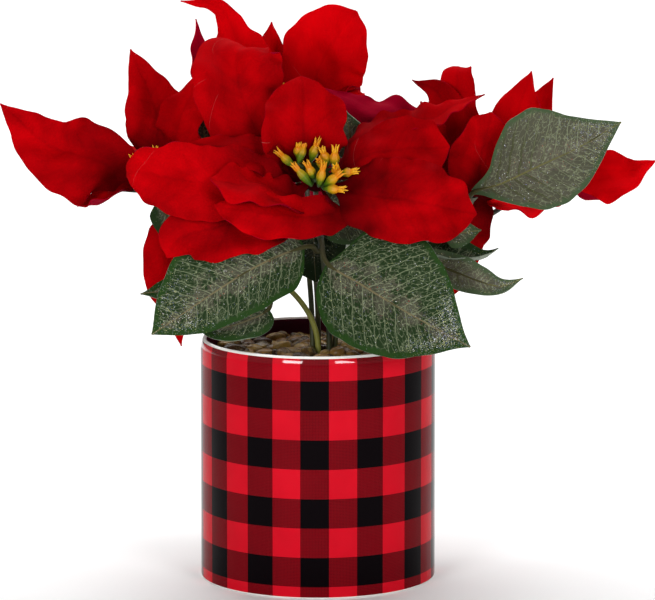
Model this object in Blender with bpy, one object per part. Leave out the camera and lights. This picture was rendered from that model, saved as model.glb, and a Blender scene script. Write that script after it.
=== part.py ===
"""A potted poinsettia: a round pot with a bed of pebbles, six stems, six flower heads and their leaves.

Sizes and places are in millimetres, and MM turns them into Blender's metres. X runs to the right, Y to
the back and Z up, and the origin is the middle of the pot's underside.
"""

import math
import random
from dataclasses import dataclass

import bmesh
import bpy
from mathutils import Matrix, Quaternion, Vector, geometry

MM = 0.001
GAP = 0.3

# The pot
POT_RADIUS = 60.0
POT_HEIGHT = 124.0
POT_WALL = 4.0
POT_FLOOR = 6.0
POT_EDGE = 1.4
POT_SEGMENTS = 48

# What fills the pot
FILL_RADIUS = POT_RADIUS - POT_WALL - GAP
PLUG_TOP = 106.0
PLUG_SEGMENTS = 24
PEBBLE_PITCH = 13.2
PEBBLE_TABLE = 4.0
PEBBLE_SIDES = 5
PEBBLE_SHIFT = 0.8
PEBBLE_CROWN = (2.4, 4.6)
GRAVEL_VALLEY = 111.5
GRAVEL_MARGIN = 1.8
GRAVEL_SEED = 5

# The stems, which stand on a small ring in the middle of the gravel
STEM_RADIUS = 1.4
STEM_RING = 5.6
STEM_CENTRE = (3.0, -8.0)
STEM_FOOT = 66.0
STEM_STRAIGHT_TO = 119.0
STEM_POINTS = 10
STEM_ORDER = ("right", "far", "rear", "top", "left", "front")
HOLE_RADIUS = STEM_RADIUS + 1.5 * GAP
HOLE_SIDES = 8

# The flower heads
CORE_HALF_HEIGHT = 4.0
CORE_PROFILE = ((0.0, -CORE_HALF_HEIGHT), (6.0, -2.6), (6.0, 2.6), (0.0, CORE_HALF_HEIGHT))
CORE_SIDES = 8
ROOT_REACH = 4.2  # where a bract starts, inside the core
COLLAR = 13.5  # how far a bract runs sideways under the buds
TIERS = (-1.5, 1.5, 0.0)  # heights at which bracts leave the core, in turn

# The buds: a ring is (how many, its radius, degrees that they lean out)
BUD_LENGTH = 9.5
BUD_SIDES = 5
BUD_PROFILE = ((0.58, 2.3), (1.0, 1.3))  # as (share of the length, radius)
BUD_SEAT = 0.8  # how high above the cushion's underside a bud starts
BUD_RINGS = ((1, 0.0, 0.0), (6, 4.8, 9.0))
FULL_BUD_RINGS = ((4, 3.6, 8.0), (9, 8.4, 19.0))
# As (share of the ring's radius, height)
CUSHION = ((0.0, 0.0), (1.0, 0.0), (1.15, 1.2), (0.7, 2.4), (0.0, 2.4))

# The blades of bracts and leaves
BRACT_THICK = 0.8
LEAF_THICK = 1.0
TIP_HALF_WIDTH = 0.45
STALK_HALF_WIDTH = 1.0
STALK_LIFT = 3.0
STALK_CLEARANCE = 3 * GAP
OPENING_SHARE = 0.25  # of its length, over which a blade opens from its flat root
RUFFLED_FROM = 8.0  # the half width from which an edge waves in full
FINE_STEPS = 24

# Half the width along a blade, as (share of its length, share of its widest half)
POINTED = ((0, 0.07), (0.1, 0.15), (0.26, 0.64), (0.45, 1), (0.64, 0.86), (0.82, 0.44), (0.93, 0.17), (1, 0))
LOBED = ((0, 0.07), (0.1, 0.17), (0.26, 0.78), (0.4, 1), (0.52, 0.97), (0.64, 0.72), (0.82, 0.4), (1, 0))
HOOKED = ((0, 0.07), (0.1, 0.15), (0.26, 0.66), (0.42, 1), (0.56, 0.8), (0.68, 0.46), (0.82, 0.28), (1, 0))
BROAD = ((0, 0.06), (0.1, 0.16), (0.24, 0.76), (0.46, 1), (0.7, 0.95), (0.86, 0.66), (0.95, 0.32), (1, 0))
LEAFY = ((0, 0.05), (0.07, 0.55), (0.2, 0.92), (0.38, 1), (0.6, 0.84), (0.8, 0.46), (0.92, 0.16), (1, 0))
ROUND_LEAF = ((0, 0.05), (0.06, 0.64), (0.16, 0.94), (0.34, 1), (0.62, 0.88), (0.82, 0.56), (0.94, 0.2), (1, 0))
HEART_LEAF = ((0, 0.05), (0.06, 0.28), (0.14, 0.62), (0.28, 0.97), (0.42, 1), (0.57, 0.84), (0.72, 0.6), (1, 0))
# Rounder still, and widest past the middle
FULL = ((0, 0.06), (0.1, 0.16), (0.24, 0.84), (0.42, 1), (0.78, 0.96), (0.9, 0.7), (0.96, 0.4), (1, 0))
SPOON = ((0, 0.06), (0.1, 0.12), (0.26, 0.42), (0.5, 0.86), (0.72, 1), (0.88, 0.78), (0.95, 0.45), (1, 0))


@dataclass
class Blade:
    """A bract or a leaf blade on a curved midrib."""

    path: tuple  # the midrib's points, the last one the tip
    width: float  # at the widest place
    face: tuple = (0.0, -0.8, 0.6)  # the way the upper side looks, at the middle
    fold: float = 10.0  # degrees that each half rises from the midrib
    outline: tuple = POINTED
    ruffle: float = 1.5  # how far the edges wave
    waves: float = 1.5
    phase: float = 0.0
    twist: float = 0.0  # degrees from root to tip
    lean: float = 0.0  # how much narrower the first side is than the other
    along: int = 6
    across: int = 4


@dataclass
class Head:
    """A flower head: the middle of its core, the way it looks, its bracts, and its rings of buds."""

    core: tuple
    axis: tuple
    bracts: list
    rings: tuple = BUD_RINGS


@dataclass
class Leaf:
    """A leaf: its stem, the share of the stem's bent part below it, and its blade beyond a stalk."""

    stem: str
    share: float
    blade: Blade


def whorl(core, axis, angles, length, width, rise, droop, seed, across=4):
    """Bracts in a ring round an axis. Angle 0 is to the right, and 90 is to the back."""
    rng = random.Random(seed)
    middle, up = Vector(core), Vector(axis).normalized()
    right = (Vector((1, 0, 0)) - up * up.x).normalized()
    back = up.cross(right)
    made = []
    for number, angle in enumerate(angles):
        turn = math.radians(angle + rng.uniform(-4, 4))
        out = right * math.cos(turn) + back * math.sin(turn)
        reach = length * rng.uniform(0.92, 1.06)
        lift = rise + (2.5 if number % 2 else -2.5)
        bend = middle + out * reach * 0.55 + up * lift
        tip = middle + out * reach + up * (lift - droop * rng.uniform(0.7, 1.2))
        made.append(
            Blade(
                (tuple(bend), tuple(tip)),
                width * rng.uniform(0.9, 1.05),
                tuple(up - out * 0.15),
                fold=rng.uniform(6, 16),
                ruffle=rng.uniform(1.0, 2.0),
                phase=rng.uniform(0, 6.28),
                twist=rng.uniform(-18, 18),
                outline=rng.choice((POINTED, LOBED, BROAD)),
                along=5,
                across=across,
            )
        )
    return made


FRONT = ((-1.0, -48.0, 212.0), (0.0, -0.62, 0.78))
LEFT = ((-84.0, -15.0, 207.0), (-0.1, -0.5, 0.86))
RIGHT = ((76.0, -6.0, 200.0), (-0.1, 0.1, 0.99))
FAR = ((111.0, 24.0, 208.0), (0.4, 0.1, 0.9))
TOP = ((-12.0, 30.0, 233.0), (0.0, -0.12, 0.99))
REAR = ((-6.0, 98.0, 200.0), (0.0, 0.5, 0.86))

FRONT_BRACTS = [
    Blade(((-28, -42, 232), (-38, -38, 254), (-40, -24, 277), (-31, -8, 276)), 45, (0.05, -1, 0.2), 4, FULL),
    Blade(((-7, -50, 238), (-8, -41, 260)), 43, (0.1, -1, 0.3), 8, BROAD),
    Blade(((-27, -54, 223), (-52, -57, 230), (-66, -52, 230)), 22, (0.1, -0.8, 0.6), 8, across=2),
    Blade(((-31, -62, 211), (-62, -69, 214), (-88, -64, 218), (-95, -56, 215)), 38, (-0.1, -1, 0.2), 4, BROAD),
    Blade(((-18, -68, 208), (-38, -76, 213), (-53, -77, 217)), 29, (0.1, -0.6, 0.8), 6, BROAD),
    Blade(((9, -65, 198), (-12, -77, 198), (-32, -82, 200), (-51, -80, 204)), 24, (0.1, -0.9, 0.5), -4, BROAD),
    Blade(
        ((-24, -60, 196), (-49, -66, 191), (-68, -65, 185), (-75, -63, 175)), 34, (-0.1, -0.95, 0.2), 6, BROAD,
        ruffle=2.2, waves=2.5),
    Blade(((22, -52, 223), (44, -51, 228), (66, -43, 228)), 35, (0.05, -0.9, 0.4), -6, SPOON),
    Blade(((27, -63, 206), (52, -73, 204), (79, -64, 197)), 42, (0.15, -1, 0.25), 4, BROAD, ruffle=2.0),
    Blade(((26, -38, 233), (54, -29, 240), (84, -20, 251)), 25, (0.0, -0.35, 1.0), 12, across=2),
]
LEFT_BRACTS = [
    Blade(((-108, -20, 216), (-134, -22, 225), (-160, -17, 246)), 41, (-0.1, -0.95, 0.35), 4, LOBED),
    Blade(((-82, -3, 239), (-95, 4, 271)), 34, (0.1, -1, 0.2), 10, LOBED),
    Blade(((-71, -16, 235), (-58, -16, 264)), 28, (-0.6, -0.8, 0.2), -10, across=2),
    Blade(((-106, -15, 199), (-122, -12, 192)), 22, (0, -0.2, 1), 8, across=2),
    Blade(((-72, -25, 187), (-75, -25, 162), (-69, -29, 124)), 28, (-0.1, -1, 0.1), 6),
    *whorl(LEFT[0], (0.0, 0.1, 1.0), (64, 108, 150), 62, 34, 12, 8, seed=2),
]
RIGHT_BRACTS = [
    Blade(((64, 9, 243), (48, 14, 254)), 26, (0.2, -1, 0.5), 14, across=2),
    Blade(((73, 13, 232), (71, 13, 255), (75, 23, 259)), 19, (-0.2, -1, 0.2), 10, FULL),
    Blade(((57, -9, 226), (50, -8, 250)), 24, (0.5, -0.8, 0.5), 12, across=2),
    Blade(((82, -21, 217), (87, -26, 243)), 34, (0.1, -1, 0.2), 10, BROAD, ruffle=2.5, waves=2.5),
    Blade(((47, -1, 231), (24, 2, 241), (3, 4, 251)), 34, (-0.1, 0.5, -0.9), 8, across=2),
    Blade(((78, 5, 189), (71, 3, 170), (63, 1, 142)), 27, (0.2, -1, 0.1), 6, BROAD, ruffle=2.2, waves=2.5),
    *whorl(*RIGHT, (95, 138), 54, 30, 12, 8, seed=5),
]
FAR_BRACTS = [
    Blade(((101, 20, 233), (109, 18, 258)), 27, (0.1, -1, 0.3), 8),
    Blade(((111, 36, 233), (121, 38, 252)), 21, (0.1, -1, 0.4), 10, across=2),
    Blade(((142, 13, 208), (158, 9, 207), (171, 4, 214)), 26, (0.1, -0.95, 0.4), 4, SPOON, lean=-0.15),
    Blade(((111, -4, 196), (101, -25, 193)), 38, (0, -0.5, 0.85), 8, BROAD, across=2),
    *whorl(*FAR, (44, 84, 124), 56, 32, 4, 6, seed=8),
]
TOP_BRACTS = [
    Blade(((-38, 36, 262), (-45, 34, 281), (-52, 31, 290), (-70, 26, 293)), 30, (-0.3, -1, 0.3), 8, HOOKED),
    Blade(((-24, 50, 259), (-24, 54, 279)), 20, (0, -1, 0.3), 8, across=2),
    Blade(((2, 46, 256), (11, 44, 273), (20, 50, 285)), 42, (0.1, -1, 0.2), 6, BROAD),
    Blade(((-54, 18, 249), (-62, 16, 285)), 20, (-1, -0.1, 0.3), 8, across=2),
    *whorl(*TOP, (2, 50, 98, 146), 62, 34, 6, 12, seed=11),
]
REAR_BRACTS = [
    *whorl(*REAR, (8, 52, 90, 128, 172), 66, 36, 4, 10, seed=14),
    *whorl(*REAR, (30, 110, 220, 320), 42, 24, 15, -2, seed=15, across=2),
]

HEADS = {
    "front": Head(*FRONT, FRONT_BRACTS, FULL_BUD_RINGS),
    "left": Head(*LEFT, LEFT_BRACTS),
    "right": Head(*RIGHT, RIGHT_BRACTS),
    "far": Head(*FAR, FAR_BRACTS),
    "top": Head(*TOP, TOP_BRACTS),
    "rear": Head(*REAR, REAR_BRACTS),
}


def leafed(stem, share, path, width, face, outline=LEAFY, fold=7.0, along=5, across=4, lean=0.0):
    """A leaf entry with the values that all leaves share."""
    blade = Blade(path, width, face, fold, outline, ruffle=0.8, along=along, across=across, lean=lean)
    return Leaf(stem, share, blade)


LEAVES = {
    "leaf_front_left": leafed(
        "front", 0.54, ((-7, -43, 177), (-35, -57, 167), (-83, -57, 135)), 46, (-0.05, -1, 0.15),
        ROUND_LEAF, along=6),
    "leaf_front_right": leafed(
        "front", 0.60, ((5, -52, 170), (22, -62, 161), (47, -70, 147), (76, -70, 131)), 62,
        (0.1, -1, 0.25), along=6),
    "leaf_right_low": leafed(
        "right", 0.60, ((63, -36, 166), (79, -42, 161), (92, -42, 157), (103, -42, 161)), 15,
        (0.1, -0.9, 0.45)),
    "leaf_right_fold": leafed(
        "right", 0.70, ((57, -24, 174), (74, -29, 173), (91, -27, 174)), 24, (0, -0.5, 0.9), fold=20, across=2),
    "leaf_right_back": leafed(
        "right", 0.78, ((63, -36, 183), (82, -39, 186)), 15, (0, 1, -0.2), across=2),
    "leaf_far": leafed(
        "right", 0.93, ((85, -33, 205), (97, -36, 212), (110, -38, 219), (131, -38, 228), (151, -34, 238)),
        51, (0, -1, 0.2), HEART_LEAF, along=7, lean=0.15),
    "leaf_between": leafed(
        "front", 0.82, ((17, -24, 217), (14, -20, 243)), 20, (-0.4, -1, 0.2), across=2),
    "leaf_left_dark": leafed(
        "left", 0.95, ((-82, -38, 200), (-76, -43, 190), (-71, -47, 178)), 19, (-0.4, -0.9, 0.2), across=2),
    "leaf_upper_left": leafed(
        "left", 0.74, ((-57, 2, 219), (-62, -1, 244)), 17, (-0.2, -1, 0.1), across=2),
    "leaf_rim_left": leafed(
        "left", 0.34, ((-25, -30, 143), (-43, -38, 136), (-62, -36, 134)), 24, (0, -0.7, 0.7)),
    "leaf_low_left": leafed(
        "left", 0.42, ((-46, -34, 158), (-68, -41, 156), (-89, -42, 153)), 20, (0, -0.8, 0.6)),
    "leaf_centre": leafed(
        "front", 0.78, ((-2, -16, 187), (-2, -13, 171), (-1, -12, 154)), 33, (0, -1, 0.1),
        ROUND_LEAF, across=2),
    "leaf_centre_right": leafed(
        "front", 0.70, ((9, -30, 184), (20, -38, 189), (38, -45, 190)), 29, (0.1, -1, 0.2), across=2),
    "leaf_rear_left": leafed(
        "rear", 0.62, ((-24, 68, 173), (-52, 90, 163), (-86, 104, 141)), 50, (-0.4, 0.7, 0.7)),
    "leaf_rear_right": leafed(
        "far", 0.50, ((52, 34, 171), (68, 60, 166), (86, 84, 144)), 48, (0.5, 0.7, 0.6)),
    "leaf_rear_low": leafed(
        "rear", 0.50, ((2, 70, 161), (10, 98, 151), (18, 130, 129)), 50, (0.1, 0.7, 0.8)),
    "leaf_side_left": leafed(
        "left", 0.82, ((-88, 14, 196), (-108, 30, 205), (-132, 44, 209)), 34, (-0.2, 0.2, 1)),
}


def smooth_curve(points):
    """Close points on a smooth curve through the given ones, FINE_STEPS to a span."""
    ends = [points[0] * 2 - points[1], *points, points[-1] * 2 - points[-2]]
    made = []
    for i in range(1, len(ends) - 2):
        a, b, c, d = ends[i - 1 : i + 3]
        for k in range(FINE_STEPS):
            t = k / FINE_STEPS
            bend = (2 * a - 5 * b + 4 * c - d) * t * t + (3 * b - a - 3 * c + d) * t * t * t
            made.append((2 * b + (c - a) * t + bend) / 2)
    made.append(points[-1])
    return made


def reaches(points):
    """The length along a line up to each of its points."""
    made = [0.0]
    for a, b in zip(points, points[1:]):
        made.append(made[-1] + (b - a).length)
    return made


def carried_frames(points, face, twist):
    """(side, normal) at each point of a line, carried along it without turning, then twisted."""
    last = len(points) - 1
    tangents = [(points[min(i + 1, last)] - points[max(i - 1, 0)]).normalized() for i in range(last + 1)]
    normals = [None] * (last + 1)
    middle = last // 2
    start = Vector(face)
    normals[middle] = (start - tangents[middle] * start.dot(tangents[middle])).normalized()
    for order in (range(middle + 1, last + 1), range(middle - 1, -1, -1)):
        before = middle
        for i in order:
            turned = tangents[before].rotation_difference(tangents[i]) @ normals[before]
            normals[i] = (turned - tangents[i] * turned.dot(tangents[i])).normalized()
            before = i
    frames = []
    for i, (tangent, normal) in enumerate(zip(tangents, normals)):
        turned = Quaternion(tangent, math.radians(twist) * (i / last - 0.5)) @ normal
        frames.append((tangent.cross(turned), turned))
    return frames


def share_of_width(outline, share):
    """An outline's half width at a share of the length, on eased steps between its points."""
    for (low, a), (high, b) in zip(outline, outline[1:]):
        if share <= high:
            t = (share - low) / (high - low)
            return a + (b - a) * (t + t * t * (3 - 2 * t)) / 2
    return outline[-1][1]


def blade_surface(blade, line, stalk_spans):
    """Rows of points over a blade's middle surface, on the midrib's line. The first spans are a bare stalk."""
    fine = smooth_curve(line)
    reach = reaches(fine)
    frames = carried_frames(fine, blade.face, blade.twist)
    foot = reach[stalk_spans * FINE_STEPS]
    stations = [foot * k / stalk_spans for k in range(stalk_spans)]
    stations += [foot + (reach[-1] - foot) * k / blade.along for k in range(blade.along + 1)]
    rows = []
    for station in stations:
        i = min(range(len(reach)), key=lambda k: abs(reach[k] - station))
        share = max(0.0, (reach[i] - foot) / (reach[-1] - foot))
        rows.append(blade_row(blade, fine[i], *frames[i], share, reach[i] < foot))
    return rows


def blade_row(blade, point, side, normal, share, bare):
    """The points across a blade at one place on its midrib."""
    half = STALK_HALF_WIDTH
    if not bare:
        half = max(TIP_HALF_WIDTH, blade.width / 2 * share_of_width(blade.outline, share))
    lift = math.radians(blade.fold)
    open_share = min(1.0, share / OPENING_SHARE)
    row = []
    for j in range(blade.across + 1):
        s = 2 * j / blade.across - 1
        out = abs(s) * half * (1 - math.copysign(1, s) * blade.lean)
        wave = math.sin(math.tau * blade.waves * share + blade.phase + (math.pi if s < 0 else 0.0))
        ripple = blade.ruffle * s * s * wave * min(1.0, half / RUFFLED_FROM)
        height = (out * math.sin(lift) + ripple) * open_share
        row.append(point + side * math.copysign(out * math.cos(lift), s) + normal * height)
    return row


def surface_normals(rows):
    """The normal of a grid of points at each of them."""
    last, wide = len(rows) - 1, len(rows[0]) - 1
    made = []
    for i in range(last + 1):
        line = []
        for j in range(wide + 1):
            along = rows[min(i + 1, last)][j] - rows[max(i - 1, 0)][j]
            across = rows[i][min(j + 1, wide)] - rows[i][max(j - 1, 0)]
            line.append(along.cross(across).normalized())
        made.append(line)
    return made


def blade_mesh(rows, thick):
    """A closed mesh with half the thickness on each side of a grid of points, split alike on both faces."""
    last, wide = len(rows) - 1, len(rows[0]) - 1
    mesh = bmesh.new()
    top, under = [], []
    for row, line in zip(rows, surface_normals(rows)):
        top.append([mesh.verts.new((p + n * thick / 2) * MM) for p, n in zip(row, line)])
        under.append([mesh.verts.new((p - n * thick / 2) * MM) for p, n in zip(row, line)])
    for i in range(last):
        for j in range(wide):
            a, b, c, d = (i, j), (i + 1, j), (i + 1, j + 1), (i, j + 1)
            cut = ((a, b, c), (a, c, d)) if (j < wide / 2) == (i % 2 == 0) else ((a, b, d), (b, c, d))
            for corners in cut:
                mesh.faces.new([top[r][k] for r, k in corners])
                mesh.faces.new([under[r][k] for r, k in reversed(corners)])
    for j in (0, wide):
        for i in range(last):
            mesh.faces.new([top[i][j], under[i][j], under[i + 1][j], top[i + 1][j]])
    for i in (0, last):
        for j in range(wide):
            mesh.faces.new([top[i][j], under[i][j], under[i][j + 1], top[i][j + 1]])
    bmesh.ops.recalc_face_normals(mesh, faces=mesh.faces)
    return mesh


def material(name, colour, roughness):
    """A plain material in one colour."""
    made = bpy.data.materials.new(name)
    made.use_nodes = True
    shader = made.node_tree.nodes["Principled BSDF"]
    shader.inputs["Base Color"].default_value = (*colour, 1.0)
    shader.inputs["Roughness"].default_value = roughness
    return made


def object_of(name, mesh, finish=None):
    """A scene object from a bmesh."""
    data = bpy.data.meshes.new(name)
    mesh.to_mesh(data)
    mesh.free()
    made = bpy.data.objects.new(name, data)
    bpy.context.scene.collection.objects.link(made)
    if finish:
        data.materials.append(finish)
    return made


def bake(target):
    """Applies an object's modifiers to its mesh."""
    bpy.context.view_layer.update()
    graph = bpy.context.evaluated_depsgraph_get()
    target.data = bpy.data.meshes.new_from_object(target.evaluated_get(graph))
    target.modifiers.clear()


def union(name, meshes, finish):
    """One body made of overlapping closed meshes."""
    first, *others = [object_of(f"{name}_{i}", mesh) for i, mesh in enumerate(meshes)]
    group = bpy.data.collections.new(name)
    for other in others:
        group.objects.link(other)
    join = first.modifiers.new("join", "BOOLEAN")
    join.operation = "UNION"
    join.operand_type = "COLLECTION"
    join.collection = group
    join.solver = "MANIFOLD"
    bake(first)
    for other in others:
        bpy.data.objects.remove(other)
    bpy.data.collections.remove(group)
    first.name = first.data.name = name
    first.data.materials.clear()
    first.data.materials.append(finish)
    return first


def turned(profile, segments):
    """A closed mesh turned about Z from (radius, height) points, from the axis below to the axis above."""
    mesh = bmesh.new()
    line = [mesh.verts.new(Vector((radius, 0, height)) * MM) for radius, height in profile]
    edges = [mesh.edges.new(pair) for pair in zip(line, line[1:])]
    bmesh.ops.spin(
        mesh, geom=line + edges, cent=(0, 0, 0), axis=(0, 0, 1), angle=math.tau, steps=segments, use_merge=True
    )
    bmesh.ops.remove_doubles(mesh, verts=mesh.verts, dist=1e-6)
    bmesh.ops.recalc_face_normals(mesh, faces=mesh.faces)
    return mesh


def pot(finish):
    """The pot: a straight cylinder wall with a softened rim and foot, on a flat floor."""
    inner = POT_RADIUS - POT_WALL
    profile = [
        (0, 0),
        (POT_RADIUS - POT_EDGE, 0),
        (POT_RADIUS, POT_EDGE),
        (POT_RADIUS, POT_HEIGHT - POT_EDGE),
        (POT_RADIUS - POT_EDGE, POT_HEIGHT),
        (inner + POT_EDGE, POT_HEIGHT),
        (inner, POT_HEIGHT - POT_EDGE),
        (inner, POT_FLOOR),
        (0, POT_FLOOR),
    ]
    made = object_of("pot", turned(profile, POT_SEGMENTS), finish)
    made.data.shade_smooth()
    made.data.set_sharp_from_angle(angle=math.radians(40))
    return made


def stem_foot(name):
    """Where a stem stands, on the ring of the stems' feet."""
    turn = math.tau * STEM_ORDER.index(name) / len(STEM_ORDER)
    return Vector((STEM_CENTRE[0] + STEM_RING * math.cos(turn), STEM_CENTRE[1] + STEM_RING * math.sin(turn), 0))


def stem_bend(name):
    """The points of a stem's bent part, from just above the gravel to just under its head's core."""
    head = HEADS[name]
    axis = Vector(head.axis).normalized()
    end = Vector(head.core) - axis * (CORE_HALF_HEIGHT + GAP)
    start = stem_foot(name) + Vector((0, 0, STEM_STRAIGHT_TO))
    reach = (end - start).length
    low, high = start + Vector((0, 0, reach * 0.4)), end - axis * reach * 0.3
    return geometry.interpolate_bezier(start, low, high, end, STEM_POINTS)


def stem(name, finish):
    """A stem as a round tube with closed ends, straight where it stands in the gravel."""
    curve = bpy.data.curves.new(f"stem_{name}", "CURVE")
    curve.dimensions = "3D"
    curve.bevel_depth = STEM_RADIUS * MM
    curve.bevel_resolution = 1
    curve.use_fill_caps = True
    points = [stem_foot(name) + Vector((0, 0, STEM_FOOT)), *stem_bend(name)]
    line = curve.splines.new("POLY")
    line.points.add(len(points) - 1)
    for place, point in zip(line.points, points):
        place.co = (*(point * MM), 1.0)
    curve.materials.append(finish)
    made = bpy.data.objects.new(f"stem_{name}", curve)
    bpy.context.scene.collection.objects.link(made)
    return made


def leaf_line(leaf):
    """A leaf's midrib with its stalk: it starts at the side of the stem that faces the blade."""
    bend = stem_bend(leaf.stem)
    place = leaf.share * (len(bend) - 1)
    step = min(int(place), len(bend) - 2)
    point = bend[step].lerp(bend[step + 1], place - step)
    upward = (bend[step + 1] - bend[step]).normalized()
    base = Vector(leaf.blade.path[0])
    out = base - point
    out = (out - upward * out.dot(upward)).normalized()
    root = point + out * (STEM_RADIUS + STALK_CLEARANCE)
    return [root, root + out * STALK_LIFT + upward * STALK_LIFT / 2, *[Vector(p) for p in leaf.blade.path]]


def leaf_mesh(leaf):
    """A leaf with its stalk, which runs over the first two spans of its line."""
    return blade_mesh(blade_surface(leaf.blade, leaf_line(leaf), 2), LEAF_THICK)


def bract_mesh(head, number):
    """A bract, which leaves the core sideways under the buds, on its own tier, before it turns away."""
    core, axis = Vector(head.core), Vector(head.axis).normalized()
    blade = head.bracts[number]
    out = Vector(blade.path[0]) - core
    out = (out - axis * out.dot(axis)).normalized()
    root = core + axis * TIERS[number % len(TIERS)]
    line = [root + out * ROOT_REACH, root + out * COLLAR, *[Vector(p) for p in blade.path]]
    return blade_mesh(blade_surface(blade, line, 0), BRACT_THICK)


def core_mesh(head):
    """The small core that a head's bracts grow from."""
    mesh = turned(CORE_PROFILE, CORE_SIDES)
    turn = Vector((0, 0, 1)).rotation_difference(Vector(head.axis)).to_matrix().to_4x4()
    bmesh.ops.transform(mesh, matrix=Matrix.Translation(Vector(head.core) * MM) @ turn, verts=mesh.verts)
    return mesh


def bracts(name, finish):
    """All of a head's bracts, as one body on its core."""
    head = HEADS[name]
    blades = [bract_mesh(head, number) for number in range(len(head.bracts))]
    return union(f"bracts_{name}", [core_mesh(head), *blades], finish)


def bud_mesh(length, place):
    """One small bud: a pointed foot, a wide shoulder and a narrower crown."""
    shoulder = [(radius, share * length) for share, radius in BUD_PROFILE]
    mesh = turned([(0, 0), *shoulder, (0, length)], BUD_SIDES)
    bmesh.ops.transform(mesh, matrix=place, verts=mesh.verts)
    return mesh


def buds(name, finish):
    """The tight cluster of small buds in the middle of a head."""
    head = HEADS[name]
    axis = Vector(head.axis).normalized()
    turn = Vector((0, 0, 1)).rotation_difference(axis).to_matrix().to_4x4()
    base = Matrix.Translation((Vector(head.core) + axis * (CORE_HALF_HEIGHT + GAP)) * MM) @ turn
    outer = head.rings[-1][1]
    cushion = turned([(share * outer, height) for share, height in CUSHION], 8)
    bmesh.ops.transform(cushion, matrix=base, verts=cushion.verts)
    meshes = [cushion]
    rng = random.Random(name)
    for count, radius, lean in head.rings:
        for k in range(count):
            around = Matrix.Rotation(math.tau * k / count + rng.uniform(-0.15, 0.15), 4, "Z")
            seat = Matrix.Translation(Vector((radius, 0, BUD_SEAT)) * MM)
            tilt = Matrix.Rotation(math.radians(lean + rng.uniform(-5, 5)), 4, "Y")
            meshes.append(bud_mesh(BUD_LENGTH * rng.uniform(0.85, 1.08), base @ around @ seat @ tilt))
    return union(f"buds_{name}", meshes, finish)


def bored(target, low, high):
    """Cuts the stems' holes into an object."""
    mesh = bmesh.new()
    for name in STEM_ORDER:
        place = Matrix.Translation((stem_foot(name) + Vector((0, 0, (low + high) / 2))) * MM)
        bmesh.ops.create_cone(
            mesh,
            cap_ends=True,
            segments=HOLE_SIDES,
            radius1=HOLE_RADIUS * MM,
            radius2=HOLE_RADIUS * MM,
            depth=(high - low) * MM,
            matrix=place,
        )
    cutter = object_of(f"{target.name}_holes", mesh)
    cut = target.modifiers.new("holes", "BOOLEAN")
    cut.operation = "DIFFERENCE"
    cut.object = cutter
    bake(target)
    bpy.data.objects.remove(cutter)
    return target


def plug(finish):
    """The block that fills the pot under the gravel and holds the stems."""
    low = POT_FLOOR + GAP
    body = turned([(0, low), (FILL_RADIUS, low), (FILL_RADIUS, PLUG_TOP), (0, PLUG_TOP)], PLUG_SEGMENTS)
    return bored(object_of("plug", body, finish), STEM_FOOT - GAP, PLUG_TOP + 5)


def pebble_points():
    """Places and heights of the gravel's points: each pebble a low table, with valleys between."""
    rng = random.Random(GRAVEL_SEED)
    rows = int(FILL_RADIUS / PEBBLE_PITCH) + 2
    made = []
    for j in range(-rows, rows + 1):
        for i in range(-rows, rows + 1):
            x = PEBBLE_PITCH * (i + (j % 2) / 2) + rng.uniform(-PEBBLE_SHIFT, PEBBLE_SHIFT)
            y = PEBBLE_PITCH * math.sqrt(0.75) * j + rng.uniform(-PEBBLE_SHIFT, PEBBLE_SHIFT)
            crown = GRAVEL_VALLEY + rng.uniform(*PEBBLE_CROWN)
            turn = rng.uniform(0, 1)
            for k in range(PEBBLE_SIDES):
                around = math.tau * (k + turn) / PEBBLE_SIDES
                made.append((x + PEBBLE_TABLE * math.cos(around), y + PEBBLE_TABLE * math.sin(around), crown))
            for around in (math.pi / 6, math.pi / 2):
                far = PEBBLE_PITCH / math.sqrt(3)
                made.append((x + far * math.cos(around), y + far * math.sin(around), GRAVEL_VALLEY))
    return [p for p in made if math.hypot(p[0], p[1]) < FILL_RADIUS - GRAVEL_MARGIN]


def gravel(finish):
    """The bed of pebbles: one body with the pebbles raised from its surface."""
    turns = [math.tau * k / POT_SEGMENTS for k in range(POT_SEGMENTS)]
    rim = [(FILL_RADIUS * math.cos(turn), FILL_RADIUS * math.sin(turn), GRAVEL_VALLEY) for turn in turns]
    points = rim + pebble_points()
    edges = [(k, (k + 1) % len(rim)) for k in range(len(rim))]
    flat = [Vector(p[:2]) for p in points]
    places, _, faces, sources, _, _ = geometry.delaunay_2d_cdt(flat, edges, [], 1, 1e-5)
    mesh = bmesh.new()
    top = [mesh.verts.new(Vector((*p, points[source[0]][2])) * MM) for p, source in zip(places, sources)]
    for face in faces:
        mesh.faces.new([top[k] for k in face])
    foot = [mesh.verts.new(Vector((x, y, PLUG_TOP + GAP)) * MM) for x, y, _ in rim]
    for k, (source_a, source_b) in enumerate(edges):
        mesh.faces.new([top[source_a], top[source_b], foot[source_b], foot[k]])
    mesh.faces.new(foot)
    bmesh.ops.recalc_face_normals(mesh, faces=mesh.faces)
    return bored(object_of("gravel", mesh, finish), PLUG_TOP - 5, GRAVEL_VALLEY + 20)


def main():
    """Builds every piece."""
    for old in list(bpy.data.objects):
        bpy.data.objects.remove(old)
    red = material("bract_red", (0.55, 0.005, 0.01), 0.7)
    green = material("leaf_green", (0.06, 0.12, 0.04), 0.6)
    stalk = material("stem_green", (0.05, 0.09, 0.02), 0.5)
    yellow = material("bud_yellow", (0.7, 0.42, 0.03), 0.5)
    pot(material("pot_glaze", (0.6, 0.02, 0.03), 0.15))
    plug(material("plug_foam", (0.12, 0.09, 0.06), 0.9))
    gravel(material("pebbles", (0.35, 0.24, 0.13), 0.6))
    for name in HEADS:
        stem(name, stalk)
        bracts(name, red)
        buds(name, yellow)
    for name, leaf in LEAVES.items():
        object_of(name, leaf_mesh(leaf), green)


main()
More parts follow.
